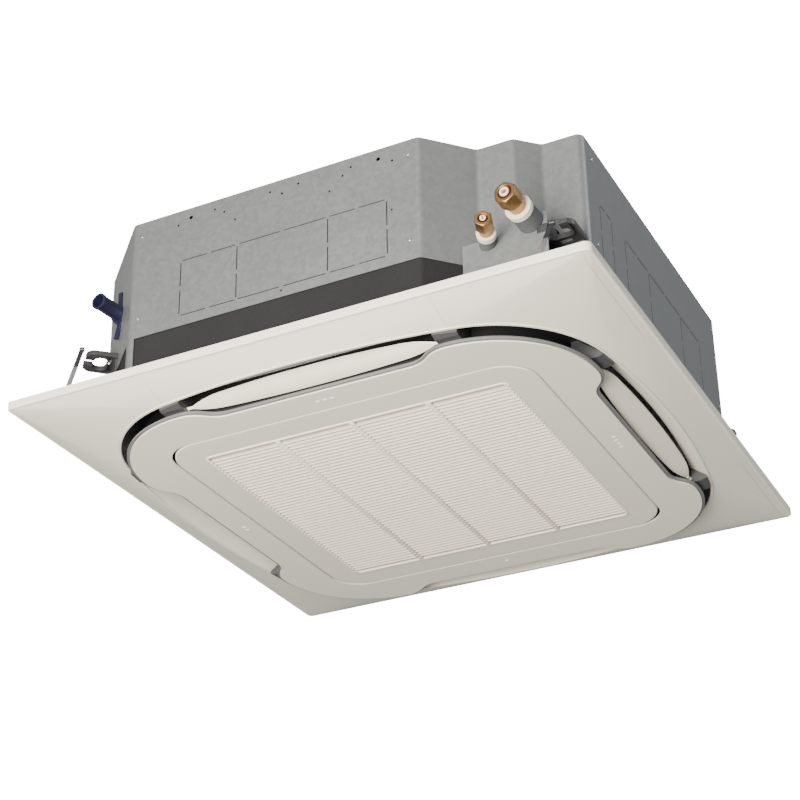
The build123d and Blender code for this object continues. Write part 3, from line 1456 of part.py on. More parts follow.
# the cover's left edge meets the slanting wall of the pipe recess
plate_left = recess_left + (recess_foot - recess_left) * (plate_y + body_half) / recess_depth + plate_fit
with BuildPart() as pipe_cover:
    with BuildSketch(Plane(origin=(0, plate_y, 0), x_dir=(1, 0, 0), z_dir=(0, -1, 0))) as cover_sketch:
        with BuildLine():
            Polyline(
                (plate_left, 0),
                (plate_left, plate_low_top),
                (plate_step_x, plate_low_top),
                (plate_step_x + plate_step_run, plate_high_top),
                (plate_right, plate_high_top),
                (plate_right, 0),
                close=True,
            )
        make_face()
    extrude(cover_sketch.sketch, amount=sheet)
    with BuildSketch() as cover_foot:
        with Locations((plate_left, plate_y)):
            foot_depth = recess_y - plate_y + foam_inset
            Rectangle(plate_right - plate_left, foot_depth, align=(Align.MIN, Align.MIN))
        casing_face(foam_inset, Mode.SUBTRACT)
    extrude(cover_foot.sketch, amount=sheet)
    pipe_ring(gas_axis, gas_sleeve_radius + plate_fit, 0, -collar_length, collar_length, Mode.SUBTRACT)
    pipe_ring(liquid_axis, liquid_sleeve_radius + plate_fit, 0, -collar_length, collar_length, Mode.SUBTRACT)
pipe_cover.part.label = "pipe_cover"
export_step(pipe_cover.part, "parts/pipe_cover.step")

# ---- hanging brackets and straps --------------------------------------------------------------
# each bracket's plan frame starts on the housing wall and runs out through the hanging bolt
chamfer_foot = (hanger_x + hanger_y - body_half - chamfer_end) / 2
hanger_frames = []
for x_sign, y_sign in corner_signs[:3]:
    foot = Vector(x_sign * (hanger_x - chamfer_foot), y_sign * (hanger_y - chamfer_foot), 0)
    outwards = Vector(x_sign, y_sign, 0).normalized()
    hanger_frames.append((foot, outwards, chamfer_foot * 2**0.5, strap_side * x_sign * y_sign))
recess_reach = hanger_y + recess_back
hanger_frames.append((Vector(hanger_x, recess_back, 0), Vector(0, -1, 0), recess_reach, -strap_side_recess))

hanger_low = hanger_level - hanger_plate / 2
with BuildPart() as hanger_brackets:
    for foot, outwards, bolt_reach, side in hanger_frames:
        hook_plane = Plane(origin=foot + Vector(0, 0, hanger_low), x_dir=outwards)
        with BuildSketch(hook_plane) as hook_sketch:
            with Locations((hanger_reach / 2, 0)):
                RectangleRounded(hanger_reach, hanger_width, hanger_corner)
            with Locations((hanger_corner, 0)):
                Rectangle(2 * hanger_corner, hanger_width)
            with Locations((bolt_reach, 0)):
                Circle(hanger_pocket_radius, mode=Mode.SUBTRACT)
                Rectangle(
                    hanger_reach, hanger_mouth, align=(Align.MIN, Align.CENTER), mode=Mode.SUBTRACT
                )
        extrude(hook_sketch.sketch, amount=hanger_plate)
        foot_plane = Plane(origin=foot, x_dir=outwards.cross(Vector(0, 0, -1)), z_dir=outwards)
        with BuildSketch(foot_plane) as foot_sketch:
            with Locations((0, (hanger_foot + hanger_low) / 2)):
                Rectangle(hanger_width, hanger_low - hanger_foot)
            with Locations((0, (hanger_foot + hanger_low) / 2 - hanger_window[1])):
                Rectangle(*hanger_window, mode=Mode.SUBTRACT)
        extrude(foot_sketch.sketch, amount=hanger_foot_thickness)
hanger_brackets.part.label = "hanger_brackets"
export_step(hanger_brackets.part, "parts/hanger_brackets.step")

with BuildPart() as panel_straps:
    for (foot, outwards, bolt_reach, side), (foot_x, foot_y) in zip(hanger_frames, strap_feet):
        across = Vector(0, 0, 1).cross(outwards)
        strap_top = Vector(0, 0, hanger_level + strap_rise)
        top = foot + outwards * (hanger_reach + strap_offset) + across * side + strap_top
        run = Vector(foot_x, foot_y, 0) - top
        with BuildSketch(Plane(origin=top, x_dir=across, z_dir=run)) as strap_section:
            Rectangle(strap_width, strap_thickness)
        extrude(strap_section.sketch, amount=run.length)
    slab((-panel_half, panel_half), (-panel_half, panel_half), (-rim_height, 0), Mode.SUBTRACT)
panel_straps.part.label = "panel_straps"
export_step(panel_straps.part, "parts/panel_straps.step")

with BuildPart() as casing_screws:
    for plane, right_place in (
        (front_plane, rivet_place_recess),
        (right_plane, rivet_place),
        (rear_plane, rivet_place),
        (left_plane, rivet_place),
    ):
        with BuildSketch(plane) as head_sketch:
            for place in (-rivet_place, right_place):
                with Locations((place, rivet_low), (place, rivet_high)):
                    Circle(rivet_radius)
        extrude(head_sketch.sketch, amount=rivet_height)
casing_screws.part.label = "casing_screws"
export_step(casing_screws.part, "parts/casing_screws.step")
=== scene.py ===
# %% [markdown]
# A ceiling cassette air conditioner hangs in a ceiling opening: a sheet steel housing above, a
# wide moulded panel below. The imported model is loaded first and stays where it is. Everything
# that follows is placed in its frame, in metres, with +Z up and the ceiling plane at z = 0.

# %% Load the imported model
from math import cos, pi, radians, sin

import bmesh
import bpy
from mathutils import Matrix, Vector


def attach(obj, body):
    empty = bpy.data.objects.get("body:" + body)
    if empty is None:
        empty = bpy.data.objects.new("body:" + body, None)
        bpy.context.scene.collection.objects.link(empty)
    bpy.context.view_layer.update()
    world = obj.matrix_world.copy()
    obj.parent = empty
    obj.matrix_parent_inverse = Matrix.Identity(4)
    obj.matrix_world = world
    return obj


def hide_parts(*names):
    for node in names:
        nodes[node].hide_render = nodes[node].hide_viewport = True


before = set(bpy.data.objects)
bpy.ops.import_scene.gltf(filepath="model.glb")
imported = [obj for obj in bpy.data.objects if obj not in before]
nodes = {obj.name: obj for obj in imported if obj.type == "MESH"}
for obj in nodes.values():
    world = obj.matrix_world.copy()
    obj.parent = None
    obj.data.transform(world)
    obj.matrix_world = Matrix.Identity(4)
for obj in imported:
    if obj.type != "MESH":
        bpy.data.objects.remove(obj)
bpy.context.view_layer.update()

# %% [markdown]
# The photograph looks up at the unit from below, a little to the right of the side with the
# pipes. A long lens from over three metres keeps the panel's edges nearly parallel. The camera
# is built from its three directions, because that is easier to read than three angles.

# %% Camera
view_turn = radians(26.119)
view_rise = radians(-27.454)
view_roll = radians(1.046)
view_place = Vector((1.1675, -2.4671, -1.3813))
lens_length = 84.9
lens_shift = 0.05
view_back = Vector((sin(view_turn) * cos(view_rise), -cos(view_turn) * cos(view_rise), sin(view_rise)))
level_right = (-view_back).cross(Vector((0, 0, 1))).normalized()
level_up = view_back.cross(level_right)
view_right = level_right * cos(view_roll) - level_up * sin(view_roll)
view_up = level_up * cos(view_roll) + level_right * sin(view_roll)

bpy.ops.object.camera_add()
camera = bpy.context.object
camera.name = "camera"
camera.data.sensor_width = 36.0
camera.data.lens = lens_length
camera.data.shift_y = lens_shift
camera.data.clip_start = 0.05
camera.data.clip_end = 100.0
view_axes = Matrix((view_right, view_up, view_back)).transposed().to_4x4()
camera.matrix_world = Matrix.Translation(view_place) @ view_axes
bpy.context.scene.camera = camera
print("camera", [round(v, 3) for v in camera.location])

# %% [markdown]
# The unit floats on white in the photograph, lit softly from the front. A white world gives the
# background, and less of it reaches the surfaces than the camera sees, so that shaded sides
# stay grey. One large soft lamp stands in front and below, weaker ones to the right and above,
# and a pale floor lies far under the unit, so that it hides nothing in a view from below.

# %% World, lamps and floor
white_for_the_camera = 16.0
white_on_the_surfaces = 0.40
floor_height = -4.3

world = bpy.data.worlds.new("white_room")
bpy.context.scene.world = world
world.use_nodes = True
sky = world.node_tree
sky.nodes.clear()
seen_white = sky.nodes.new("ShaderNodeBackground")
seen_white.inputs["Color"].default_value = (1, 1, 1, 1)
seen_white.inputs["Strength"].default_value = white_for_the_camera
room_light = sky.nodes.new("ShaderNodeBackground")
room_light.inputs["Color"].default_value = (0.96, 0.98, 1.0, 1)
room_light.inputs["Strength"].default_value = white_on_the_surfaces
ray = sky.nodes.new("ShaderNodeLightPath")
either = sky.nodes.new("ShaderNodeMixShader")
sky_out = sky.nodes.new("ShaderNodeOutputWorld")
sky.links.new(ray.outputs["Is Camera Ray"], either.inputs[0])
sky.links.new(room_light.outputs[0], either.inputs[1])
sky.links.new(seen_white.outputs[0], either.inputs[2])
sky.links.new(either.outputs[0], sky_out.inputs[0])


def soft_lamp(name, place, target, size, power, colour):
    """A square area lamp at place that faces target."""
    bpy.ops.object.light_add(type="AREA", location=place)
    lamp = bpy.context.object
    lamp.name = name
    lamp.data.size = size
    lamp.data.energy = power
    lamp.data.color = colour
    lamp.rotation_euler = (Vector(target) - Vector(place)).to_track_quat("-Z", "Y").to_euler()
    return lamp


soft_lamp("front_lamp", (0.1, -2.3, -0.75), (0.0, -0.25, 0.0), 1.3, 172.0, (1.0, 0.96, 0.89))
soft_lamp("right_lamp", (2.6, 0.3, 1.3), (0.3, 0.0, 0.15), 1.4, 26.0, (0.98, 0.99, 1.0))
soft_lamp("top_lamp", (0.4, -1.8, 2.6), (0.0, 0.0, 0.2), 2.0, 16.0, (1.0, 1.0, 1.0))

bpy.ops.mesh.primitive_plane_add(size=24.0, location=(0, 0, floor_height))
floor = bpy.context.object
floor.name = "floor"

# %% [markdown]
# Every finish is worked out by nodes. Wiring nodes by hand hides the sums in them, so a small
# class wraps a socket and lets plain Python operators add the Math nodes. A second class holds
# one finish and has one method for every other kind of node.


# %% Sums on surface values
class Value:
    """A number that varies over the surface: an output socket that can stand in a sum."""

    def __init__(self, finish, socket):
        self.finish = finish
        self.socket = socket

    def worked(self, operation, *terms):
        return self.finish.node("Math", {"operation": operation}, *terms)

    def __add__(self, other):
        return self.worked("ADD", self, other)

    __radd__ = __add__

    def __sub__(self, other):
        return self.worked("SUBTRACT", self, other)

    def __rsub__(self, other):
        return self.worked("SUBTRACT", other, self)

    def __mul__(self, other):
        return self.worked("MULTIPLY", self, other)

    __rmul__ = __mul__

    def __pow__(self, other):
        return self.worked("POWER", self, other)

    def __gt__(self, other):
        return self.worked("GREATER_THAN", self, other)

    def __lt__(self, other):
        return self.worked("LESS_THAN", self, other)

    def __abs__(self):
        return self.worked("ABSOLUTE", self)

    def zigzag(self):
        """Up and down between 0 and 1, with one rise or one fall for each unit."""
        return self.worked("PINGPONG", self, 1.0)


# %% One finish and its nodes
class Finish:
    """A material that is built up node by node. Its pattern space is the object's own, in metres."""

    def __init__(self, name, roughness=0.5, metallic=0.0, coat=0.0, specular=0.5):
        self.material = bpy.data.materials.new(name)
        self.material.use_nodes = True
        self.tree = self.material.node_tree
        self.shader = self.tree.nodes["Principled BSDF"]
        self.shader.inputs["Roughness"].default_value = roughness
        self.shader.inputs["Metallic"].default_value = metallic
        self.shader.inputs["Coat Weight"].default_value = coat
        self.shader.inputs["Specular IOR Level"].default_value = specular
        self.place = self.node("TexCoord", {}, out="Object")

    def feed(self, socket, value):
        """Link a surface value to a socket, or set a plain one."""
        if isinstance(value, Value):
            self.tree.links.new(value.socket, socket)
        else:
            socket.default_value = value

    def node(self, kind, settings, *values, out=0, **named):
        made = self.tree.nodes.new("ShaderNode" + kind)
        for key, setting in settings.items():
            setattr(made, key, setting)
        for key, value in [*enumerate(values), *named.items()]:
            self.feed(made.inputs[key if isinstance(key, int) else key.replace("_", " ")], value)
        return Value(self, made.outputs[out])

    def noise(self, scale, detail=3.0, rough=0.5, stretch=None):
        """Soft clouds; scale is in clouds per metre, stretch squeezes them along an axis."""
        place = self.place
        if stretch:
            place = self.node("Mapping", {}, Vector=self.place, Scale=stretch)
        return self.node("TexNoise", {}, Vector=place, Scale=scale, Detail=detail, Roughness=rough)

    def cells(self, scale, out="Distance"):
        """Pebble cells; Distance grows from each cell's middle, Color is one tone a cell."""
        return self.node("TexVoronoi", {}, Vector=self.place, Scale=scale, out=out)

    def axis(self, name):
        """How far along X, Y or Z a point lies, in metres."""
        return self.node("SeparateXYZ", {}, self.place, out=name)

    def between(self, share, first, second):
        """A colour between two others; share is 0 for the first and 1 for the second."""
        mixed = self.node("Mix", {"data_type": "RGBA"}, out=2)
        for place, value in ((0, share), (6, first), (7, second)):
            self.feed(mixed.socket.node.inputs[place], value)
        return mixed

    def wear(self, **sockets):
        """Feed the surface shader's own sockets."""
        for key, value in sockets.items():
            self.feed(self.shader.inputs[key.replace("_", " ")], value)

    def relief(self, height, depth):
        """Raise and lower the surface by height, which runs from 0 to 1, times depth in metres."""
        bump = self.node("Bump", {}, Height=height, Distance=depth, Strength=1.0)
        self.wear(Normal=bump)


def paint(r, g, b):
    """A colour with full opacity."""
    return (r, g, b, 1.0)


def shade(colour, factor):
    """The same colour, darker or lighter."""
    return tuple(min(1.0, c * factor) for c in colour[:3]) + (1.0,)


def dress(finish, *names):
    """Give CAD nodes a finish in place of the plain one they came with."""
    for name in names:
        mesh = nodes[name].data
        mesh.materials.clear()
        mesh.materials.append(finish.material)
    print(finish.material.name, "on", ", ".join(names))


# %% [markdown]
# The panel is injection moulded in a warm white plastic with a satin face. Up close such a face
# is never one flat colour: the resin clouds slightly, the gloss varies, and spark erosion in the
# mould leaves a fine grain. Three noises at three scales give those, each too weak to see alone.


# %% Moulded plastic
def moulded(name, colour, roughness, grain=0.00004, cloud=0.05, coat=0.0):
    """A moulded plastic: soft colour clouds, uneven gloss and a fine mould grain."""
    finish = Finish(name, roughness=roughness, coat=coat)
    clouds = finish.noise(3.0, 4.0)
    specks = finish.noise(420.0, 2.0)
    tone = clouds * 0.8 + specks * 0.2
    finish.wear(
        Base_Color=finish.between(tone, shade(colour, 1.0 - cloud), shade(colour, 1.0 + cloud)),
        Roughness=clouds * 0.12 + specks * 0.06 + (roughness - 0.09),
    )
    finish.relief(finish.noise(1600.0, 2.0), grain)
    return finish


panel_white = moulded("panel_white", paint(0.85, 0.80, 0.69), 0.42)
inner_white = moulded("inner_white", paint(0.80, 0.75, 0.645), 0.46)
grille_white = moulded("grille_white", paint(0.80, 0.745, 0.64), 0.46)
slat_face_depth = 0.0488
slat_fade = 260.0
border_start = 0.2532
louvre_slats = moulded("louvre_slats", paint(0.78, 0.72, 0.66), 0.50)
# Painted shade: each slat is painted darker the deeper a point lies behind the louvre's face, from cream at
# the front edge to a dark warm grey between the slats, with random clouds over it.
slat_depth = (louvre_slats.axis("Z") + slat_face_depth) * slat_fade
slat_clouds = louvre_slats.noise(6.0, 3.0) * 0.15
louvre_side = abs(louvre_slats.axis("X"))
louvre_end = abs(louvre_slats.axis("Y"))
on_border = (louvre_side > border_start) + (louvre_end > border_start)
slat_shade_and_clouds = louvre_slats.between(slat_depth + slat_clouds, paint(0.90, 0.80, 0.68), paint(0.60, 0.50, 0.42))
louvre_slats.wear(Base_Color=louvre_slats.between(on_border, slat_shade_and_clouds, paint(0.93, 0.86, 0.75)))
flap_ivory = moulded("flap_ivory", paint(0.91, 0.84, 0.70), 0.34, grain=0.00002, coat=0.15)
mark_white = moulded("mark_white", paint(0.92, 0.91, 0.87), 0.40)
band_grey = moulded("band_grey", paint(0.15, 0.153, 0.155), 0.42)
duct_black = moulded("duct_black", paint(0.012, 0.012, 0.013), 0.60, cloud=0.25)
bridge_grey = moulded("bridge_grey", paint(0.055, 0.055, 0.058), 0.45, cloud=0.12)
bush_white = moulded("bush_white", paint(0.86, 0.86, 0.84), 0.35)
filter_grey = moulded("filter_grey", paint(0.20, 0.21, 0.23), 0.50)
fan_plastic = moulded("fan_plastic", paint(0.45, 0.47, 0.49), 0.45)
bell_plastic = moulded("bell_plastic", paint(0.34, 0.35, 0.36), 0.50)
pump_white = moulded("pump_white", paint(0.70, 0.70, 0.68), 0.42)
collar_grey = moulded("collar_grey", paint(0.022, 0.026, 0.075), 0.36)

dress(panel_white, *[n for n in nodes if n.startswith("corner_cover_")])
dress(inner_white, "inner_panel", "hinge_brackets")
dress(grille_white, "grille_frame")
dress(louvre_slats, "grille_louvre")
dress(flap_ivory, *[n for n in nodes if n.startswith("outlet_flap_")])
dress(mark_white, "outlet_marks")
dress(band_grey, "inner_band")
dress(duct_black, "outlet_duct")
dress(bridge_grey, "outlet_bridges")
dress(bush_white, "flap_bushes")
dress(filter_grey, "filter_frame", "filter_net")
dress(fan_plastic, "fan_wheel")
dress(bell_plastic, "bell_mouth")
dress(pump_white, "drain_pump", "float_switch", "float_body")
dress(collar_grey, "drain_collar")

# %% [markdown]
# In its four corners the air slot's wall is painted near black, as painted shade where the slot runs deep.
# The arcs are parts of circles round four points, so the distance from the nearest of them makes the mask.

# %% The slot's dark corners
arc_centre = 0.205
arc_start = 0.012
arc_inner = 0.10
arc_outer = 0.1990
slot_panel = moulded("slot_panel", paint(0.85, 0.80, 0.69), 0.42)


def far_from_arc_centre(name):
    """How far out past the arc's centre a point lies along one axis, never below 0."""
    reach = abs(slot_panel.axis(name)) - arc_centre
    return slot_panel.node("Math", {"operation": "MAXIMUM"}, reach, 0.0)


arc_x = far_from_arc_centre("X")
arc_y = far_from_arc_centre("Y")
arc_reach = (arc_x * arc_x + arc_y * arc_y) ** 0.5
past_both = (arc_x > arc_start) * (arc_y > arc_start)
corner_shade_mask = past_both * (arc_reach < arc_outer) * (arc_reach > arc_inner)
slot_clouds = slot_panel.noise(3.0, 4.0) * 0.8 + slot_panel.noise(420.0, 2.0) * 0.2
ground = slot_panel.between(slot_clouds, paint(0.81, 0.76, 0.655), paint(0.89, 0.84, 0.725))
# Painted shade: inside the corner arcs the wall takes a near-black colour in place of its white.
slot_panel.wear(Base_Color=slot_panel.between(corner_shade_mask, ground, paint(0.012, 0.012, 0.013)))
dress(slot_panel, "panel_frame")

# %% [markdown]
# Hot-dip galvanised sheet is grey zinc with a faint spangle: crystals a few millimetres across,
# each a slightly different grey. Rolling and handling add longer, softer streaks. The metal is
# dull, so it mirrors the room only as a broad sheen.

# %% Galvanised sheet
galvanised = Finish("galvanised", roughness=0.45, metallic=0.55)
crystal = galvanised.node("SeparateColor", {}, galvanised.cells(170.0, "Color"))
handling = galvanised.noise(7.0, 5.0)
fine = galvanised.noise(600.0, 2.0)
zinc_tone = crystal * 0.35 + handling * 0.45 + fine * 0.2
galvanised.wear(
    Base_Color=galvanised.between(zinc_tone, paint(0.19, 0.20, 0.20), paint(0.235, 0.245, 0.245)),
    Roughness=crystal * 0.10 + handling * 0.18 + 0.32,
)
galvanised.relief(fine * 0.6 + crystal * 0.4, 0.00003)
dress(galvanised, "casing", "top_plate", "pipe_cover", "coil_end_plates")
dress(galvanised, "control_box", "control_cover", "fan_motor")

# %% [markdown]
# Under the sheet the housing's foot is bare foam, dark and dull, and dark foam sleeves cover the
# pipes. The drain pan is white bead foam: pebbles a few millimetres wide, pressed together.


# %% Foams
def foam(name, dark, light, bead, depth):
    """A foam: rounded beads with dark gaps, on a cloudy ground."""
    finish = Finish(name, roughness=0.9, specular=0.2)
    beads = finish.cells(1.0 / bead)
    clouds = finish.noise(14.0, 4.0)
    finish.wear(
        Base_Color=finish.between(beads * 0.5 + clouds * 0.5, light, dark),
        Roughness=0.98 - clouds * 0.15,
    )
    finish.relief(1.0 - beads, depth)
    return finish


foam_charcoal = foam("foam_charcoal", paint(0.010, 0.010, 0.011), paint(0.024, 0.024, 0.025), 0.0016, 0.0002)
sleeve_dark = foam("sleeve_dark", paint(0.070, 0.076, 0.074), paint(0.150, 0.160, 0.155), 0.0011, 0.00015)
pan_foam = foam("pan_foam", paint(0.52, 0.53, 0.55), paint(0.76, 0.77, 0.78), 0.0042, 0.0003)
seal_foam = foam("seal_foam", paint(0.02, 0.02, 0.022), paint(0.05, 0.05, 0.053), 0.0013, 0.0002)
dress(foam_charcoal, "foam_base", "foam_liner")
dress(sleeve_dark, "gas_sleeve", "liquid_sleeve", "drain_hose")
dress(pan_foam, "drain_pan")
dress(seal_foam, "panel_seal", "motor_mounts")


# %% [markdown]
# Turned brass and drawn copper are pure metals, so their colour sits in the reflection. Fine
# turning lines and patches of tarnish keep them from looking like a mirror.


# %% Brass, copper, steel and black paint
def bright_metal(name, clean, tarnished, roughness, lines=900.0):
    """A bare metal with tool lines and uneven tarnish."""
    finish = Finish(name, roughness=roughness, metallic=1.0)
    patches = finish.noise(60.0, 5.0)
    tool_lines = finish.noise(lines, 2.0, stretch=(0.15, 1.0, 1.0))
    finish.wear(
        Base_Color=finish.between(patches, clean, tarnished),
        Roughness=patches * 0.22 + tool_lines * 0.12 + (roughness - 0.12),
    )
    finish.relief(tool_lines, 0.00002)
    return finish


brass = bright_metal("brass", paint(0.50, 0.31, 0.13), paint(0.24, 0.125, 0.05), 0.36)
copper = bright_metal("copper", paint(0.80, 0.42, 0.28), paint(0.46, 0.22, 0.14), 0.36)
zinc_steel = bright_metal("zinc_steel", paint(0.70, 0.70, 0.68), paint(0.48, 0.48, 0.47), 0.32)
dress(brass, "flare_nuts")
dress(copper, "gas_pipe", "liquid_pipe", "coil_bends", "gas_header", "liquid_header")
dress(zinc_steel, "casing_screws", "panel_screws", "grille_hinge_pins", "grille_catches")
dress(zinc_steel, "flap_motors", "drive_shaft")

black_paint = Finish("black_paint", roughness=0.42, specular=0.45)
orange_peel = black_paint.noise(260.0, 3.0)
scuffs = black_paint.noise(35.0, 6.0)
black_paint.wear(
    Base_Color=black_paint.between(scuffs, paint(0.022, 0.022, 0.023), paint(0.050, 0.050, 0.052)),
    Roughness=scuffs * 0.25 + 0.30,
)
black_paint.relief(orange_peel, 0.00006)
dress(black_paint, "hanger_brackets")

# %% [markdown]
# Each hanging strap is a spring steel strip whose upper half is dipped black. One mask on the
# height does both: black above, bare steel below, with a slightly wavy edge.

# %% Dipped straps
dip_edge = 0.068
strap_dip = Finish("strap_dip", roughness=0.4)
dip_height = strap_dip.axis("Z") + strap_dip.noise(90.0, 2.0) * 0.006
dipped = dip_height > dip_edge
strap_dip.wear(
    Base_Color=strap_dip.between(dipped, paint(0.66, 0.66, 0.65), paint(0.014, 0.014, 0.015)),
    Metallic=1.0 - dipped,
    Roughness=strap_dip.noise(200.0) * 0.2 + 0.28,
)
dress(strap_dip, "panel_straps")

# %% [markdown]
# The exchanger is a pack of thousands of aluminium fins, too fine to model one by one. A wave in
# the relief stands for them: upright lines about three and a half millimetres apart on both
# walls, which is coarser than the real fins.

# %% Packed fins
fin_flanks_per_metre = 560.0
fins = Finish("packed_fins", roughness=0.38, metallic=0.9)
ring_place = fins.axis("X") + fins.axis("Y")
fin_line = (ring_place * fin_flanks_per_metre).zigzag()
fin_dust = fins.noise(40.0, 4.0)
fin_shade_and_dust = fin_line * 0.7 + fin_dust * 0.3
# Painted shade: the colour follows the same wave, dark in its troughs between the fins and light on its
# crests, with random dust over it.
fins.wear(
    Base_Color=fins.between(fin_shade_and_dust, paint(0.16, 0.165, 0.17), paint(0.66, 0.67, 0.68)),
    Roughness=fin_dust * 0.2 + 0.28,
)
fins.relief(fin_line, 0.0006)
dress(fins, "coil_fins")

# %% [markdown]
# Small things keep their own finishes: the dark blue drain socket, the cream tape collars, the
# pipe plugs and the green circuit board with its lighter traces.

# %% Socket, collars, plugs and board
socket_blue = moulded("socket_blue", paint(0.008, 0.008, 0.030), 0.34, grain=0.00002, cloud=0.2, coat=0.2)
dress(socket_blue, "drain_socket")
plug_white = moulded("plug_white", paint(0.62, 0.70, 0.80), 0.38, cloud=0.12)
dress(plug_white, "pipe_plugs")

collar_cream = Finish("collar_cream", roughness=0.85, specular=0.25)
felt = collar_cream.noise(900.0, 4.0)
felt_clouds = collar_cream.noise(70.0, 3.0)
felt_tone = felt * 0.5 + felt_clouds * 0.5
collar_cream.wear(
    Base_Color=collar_cream.between(felt_tone, paint(0.62, 0.54, 0.44), paint(0.90, 0.84, 0.74)),
    Roughness=felt * 0.2 + 0.72,
)
collar_cream.relief(felt, 0.0003)
dress(collar_cream, "pipe_collars")

board_green = Finish("board_green", roughness=0.35, coat=0.3)
trace_x = (board_green.axis("X") * 160.0).zigzag()
trace_y = (board_green.axis("Y") * 230.0).zigzag()
traces = (trace_x > 0.8) + (trace_y > 0.85) * 0.6
board_green.wear(
    Base_Color=board_green.between(traces, paint(0.012, 0.085, 0.045), paint(0.05, 0.20, 0.10)),
    Roughness=board_green.noise(300.0) * 0.2 + 0.25,
)
board_green.relief(traces, 0.00004)
dress(board_green, "circuit_board")

# %% [markdown]
# It gives a view from above some ground, and a pale cloudy white is the plainest finish for
# that.

# %% The floor's pale finish
floor_pale = Finish("floor_pale", roughness=0.7, specular=0.2)
floor_clouds = floor_pale.noise(0.8, 3.0)
floor_pale.wear(Base_Color=floor_pale.between(floor_clouds, paint(0.80, 0.80, 0.79), paint(0.86, 0.86, 0.85)))
floor.data.materials.append(floor_pale.material)

# %% [markdown]
# The small fittings are modelled finer than the frame carries them. Each is made at the origin
# with its axis along +Z, from primitives, booleans and rounded edges, and is then seated: turned
# to its own direction, moved to its place and applied, so that its object has no transform left.


# %% Tools for new pieces
mm = 0.001


def fresh(name):
    """Take the primitive that was just added, under a name."""
    piece = bpy.context.object
    piece.name = name
    return piece


def only(*pieces):
    """Select these objects and nothing else; the first is the active one."""
    bpy.ops.object.select_all(action="DESELECT")
    for piece in pieces:
        piece.select_set(True)
    bpy.context.view_layer.objects.active = pieces[0]


def bar(name, radius, start, end, sides=64, tip=None):
    """A round or many-sided bar along Z, in millimetres; tip is its radius at the end."""
    bpy.ops.object.select_all(action="DESELECT")
    bpy.ops.mesh.primitive_cone_add(
        vertices=sides,
        radius1=radius * mm,
        radius2=(radius if tip is None else tip) * mm,
        depth=(end - start) * mm,
        location=(0, 0, (start + end) / 2 * mm),
    )
    return fresh(name)


def block(name, low, high):
    """A box between two corners, in millimetres."""
    bpy.ops.object.select_all(action="DESELECT")
    middle = [(a + b) / 2 * mm for a, b in zip(low, high)]
    size = [(b - a) * mm for a, b in zip(low, high)]
    bpy.ops.mesh.primitive_cube_add(size=1.0, location=middle, scale=size)
    return fresh(name)


def combined(piece, other, operation):
    """The piece after a boolean with another solid, which is used up."""
    only(piece)
    bpy.ops.object.transform_apply(location=True, rotation=True, scale=True)
    step = piece.modifiers.new("solid", "BOOLEAN")
    step.operation = operation
    step.object = other
    step.solver = "EXACT"
    bpy.ops.object.modifier_apply(modifier=step.name)
    bpy.data.objects.remove(other)
    return piece


def rounded(piece, width, segments=2, angle=35.0):
    """Round every sharp edge by a width in millimetres."""
    only(piece)
    step = piece.modifiers.new("edges", "BEVEL")
    step.width = width * mm
    step.segments = segments
    step.limit_method = "ANGLE"
    step.angle_limit = radians(angle)
    step.use_clamp_overlap = True
    bpy.ops.object.modifier_apply(modifier=step.name)
    return piece


def rounded_corners(piece, radius, wanted):
    """Round a block's upright edges where wanted(x, y), in millimetres, says so."""
    only(piece)
    bpy.ops.object.transform_apply(location=True, rotation=True, scale=True)
    bpy.ops.object.mode_set(mode="EDIT")
    bpy.ops.mesh.select_all(action="DESELECT")
    bpy.ops.mesh.select_mode(type="EDGE")
    mesh = bmesh.from_edit_mesh(piece.data)
    for edge in mesh.edges:
        first, second = (corner.co / mm for corner in edge.verts)
        upright = abs(first.z - second.z) > 1.0
        edge.select_set(upright and wanted(first.x, first.y))
    bmesh.update_edit_mesh(piece.data)
    bpy.ops.mesh.bevel(offset=radius * mm, segments=8, affect="EDGES")
    bpy.ops.object.mode_set(mode="OBJECT")
    return piece


def seated(piece, place, along, up=(0, 0, 1)):
    """Turn the piece's Z to along and its Y towards up, move its origin to place and apply it."""
    front = Vector(along).normalized()
    side = Vector(up).cross(front).normalized()
    top = front.cross(side)
    turn = Matrix((side, top, front)).transposed().to_4x4()
    piece.matrix_world = Matrix.Translation(Vector(place) * mm) @ turn @ piece.matrix_world
    only(piece)
    bpy.ops.object.transform_apply(location=True, rotation=True, scale=True)
    return piece


def copied(piece, name):
    """A second piece with its own mesh."""
    only(piece)
    bpy.ops.object.duplicate(linked=False)
    return fresh(name)


def joined(name, pieces):
    """Several pieces as one object."""
    only(*pieces)
    if len(pieces) > 1:
        bpy.ops.object.join()
    return fresh(name)


def fitted(piece, finish, slot_name, *replaced):
    only(piece)
    bpy.ops.object.shade_smooth_by_angle(angle=radians(32.0))
    piece.data.materials.clear()
    piece.data.materials.append(finish.material)
    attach(piece, "unit")
    if replaced:
        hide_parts(*replaced)
    print(piece.name, "polygons", len(piece.data.polygons), "stands for", replaced)
    return piece


# %% [markdown]
# A flare nut starts as a hexagonal bar. Turning takes its corners off at both ends, which leaves
# the curved chamfers that every nut shows, and the back tapers to a round shoulder. A plug sits
# in the pipe's mouth: a ring with a hole for the large pipe, a slotted cap for the small one.

# %% Flare nuts and pipe plugs
gas_root = (354.0, -372.0, 128.0)
gas_out = (-0.045363, -0.998971, 0.0)
liquid_root = (287.0, -372.0, 112.0)
liquid_out = (0.295708, -0.955278, 0.0)


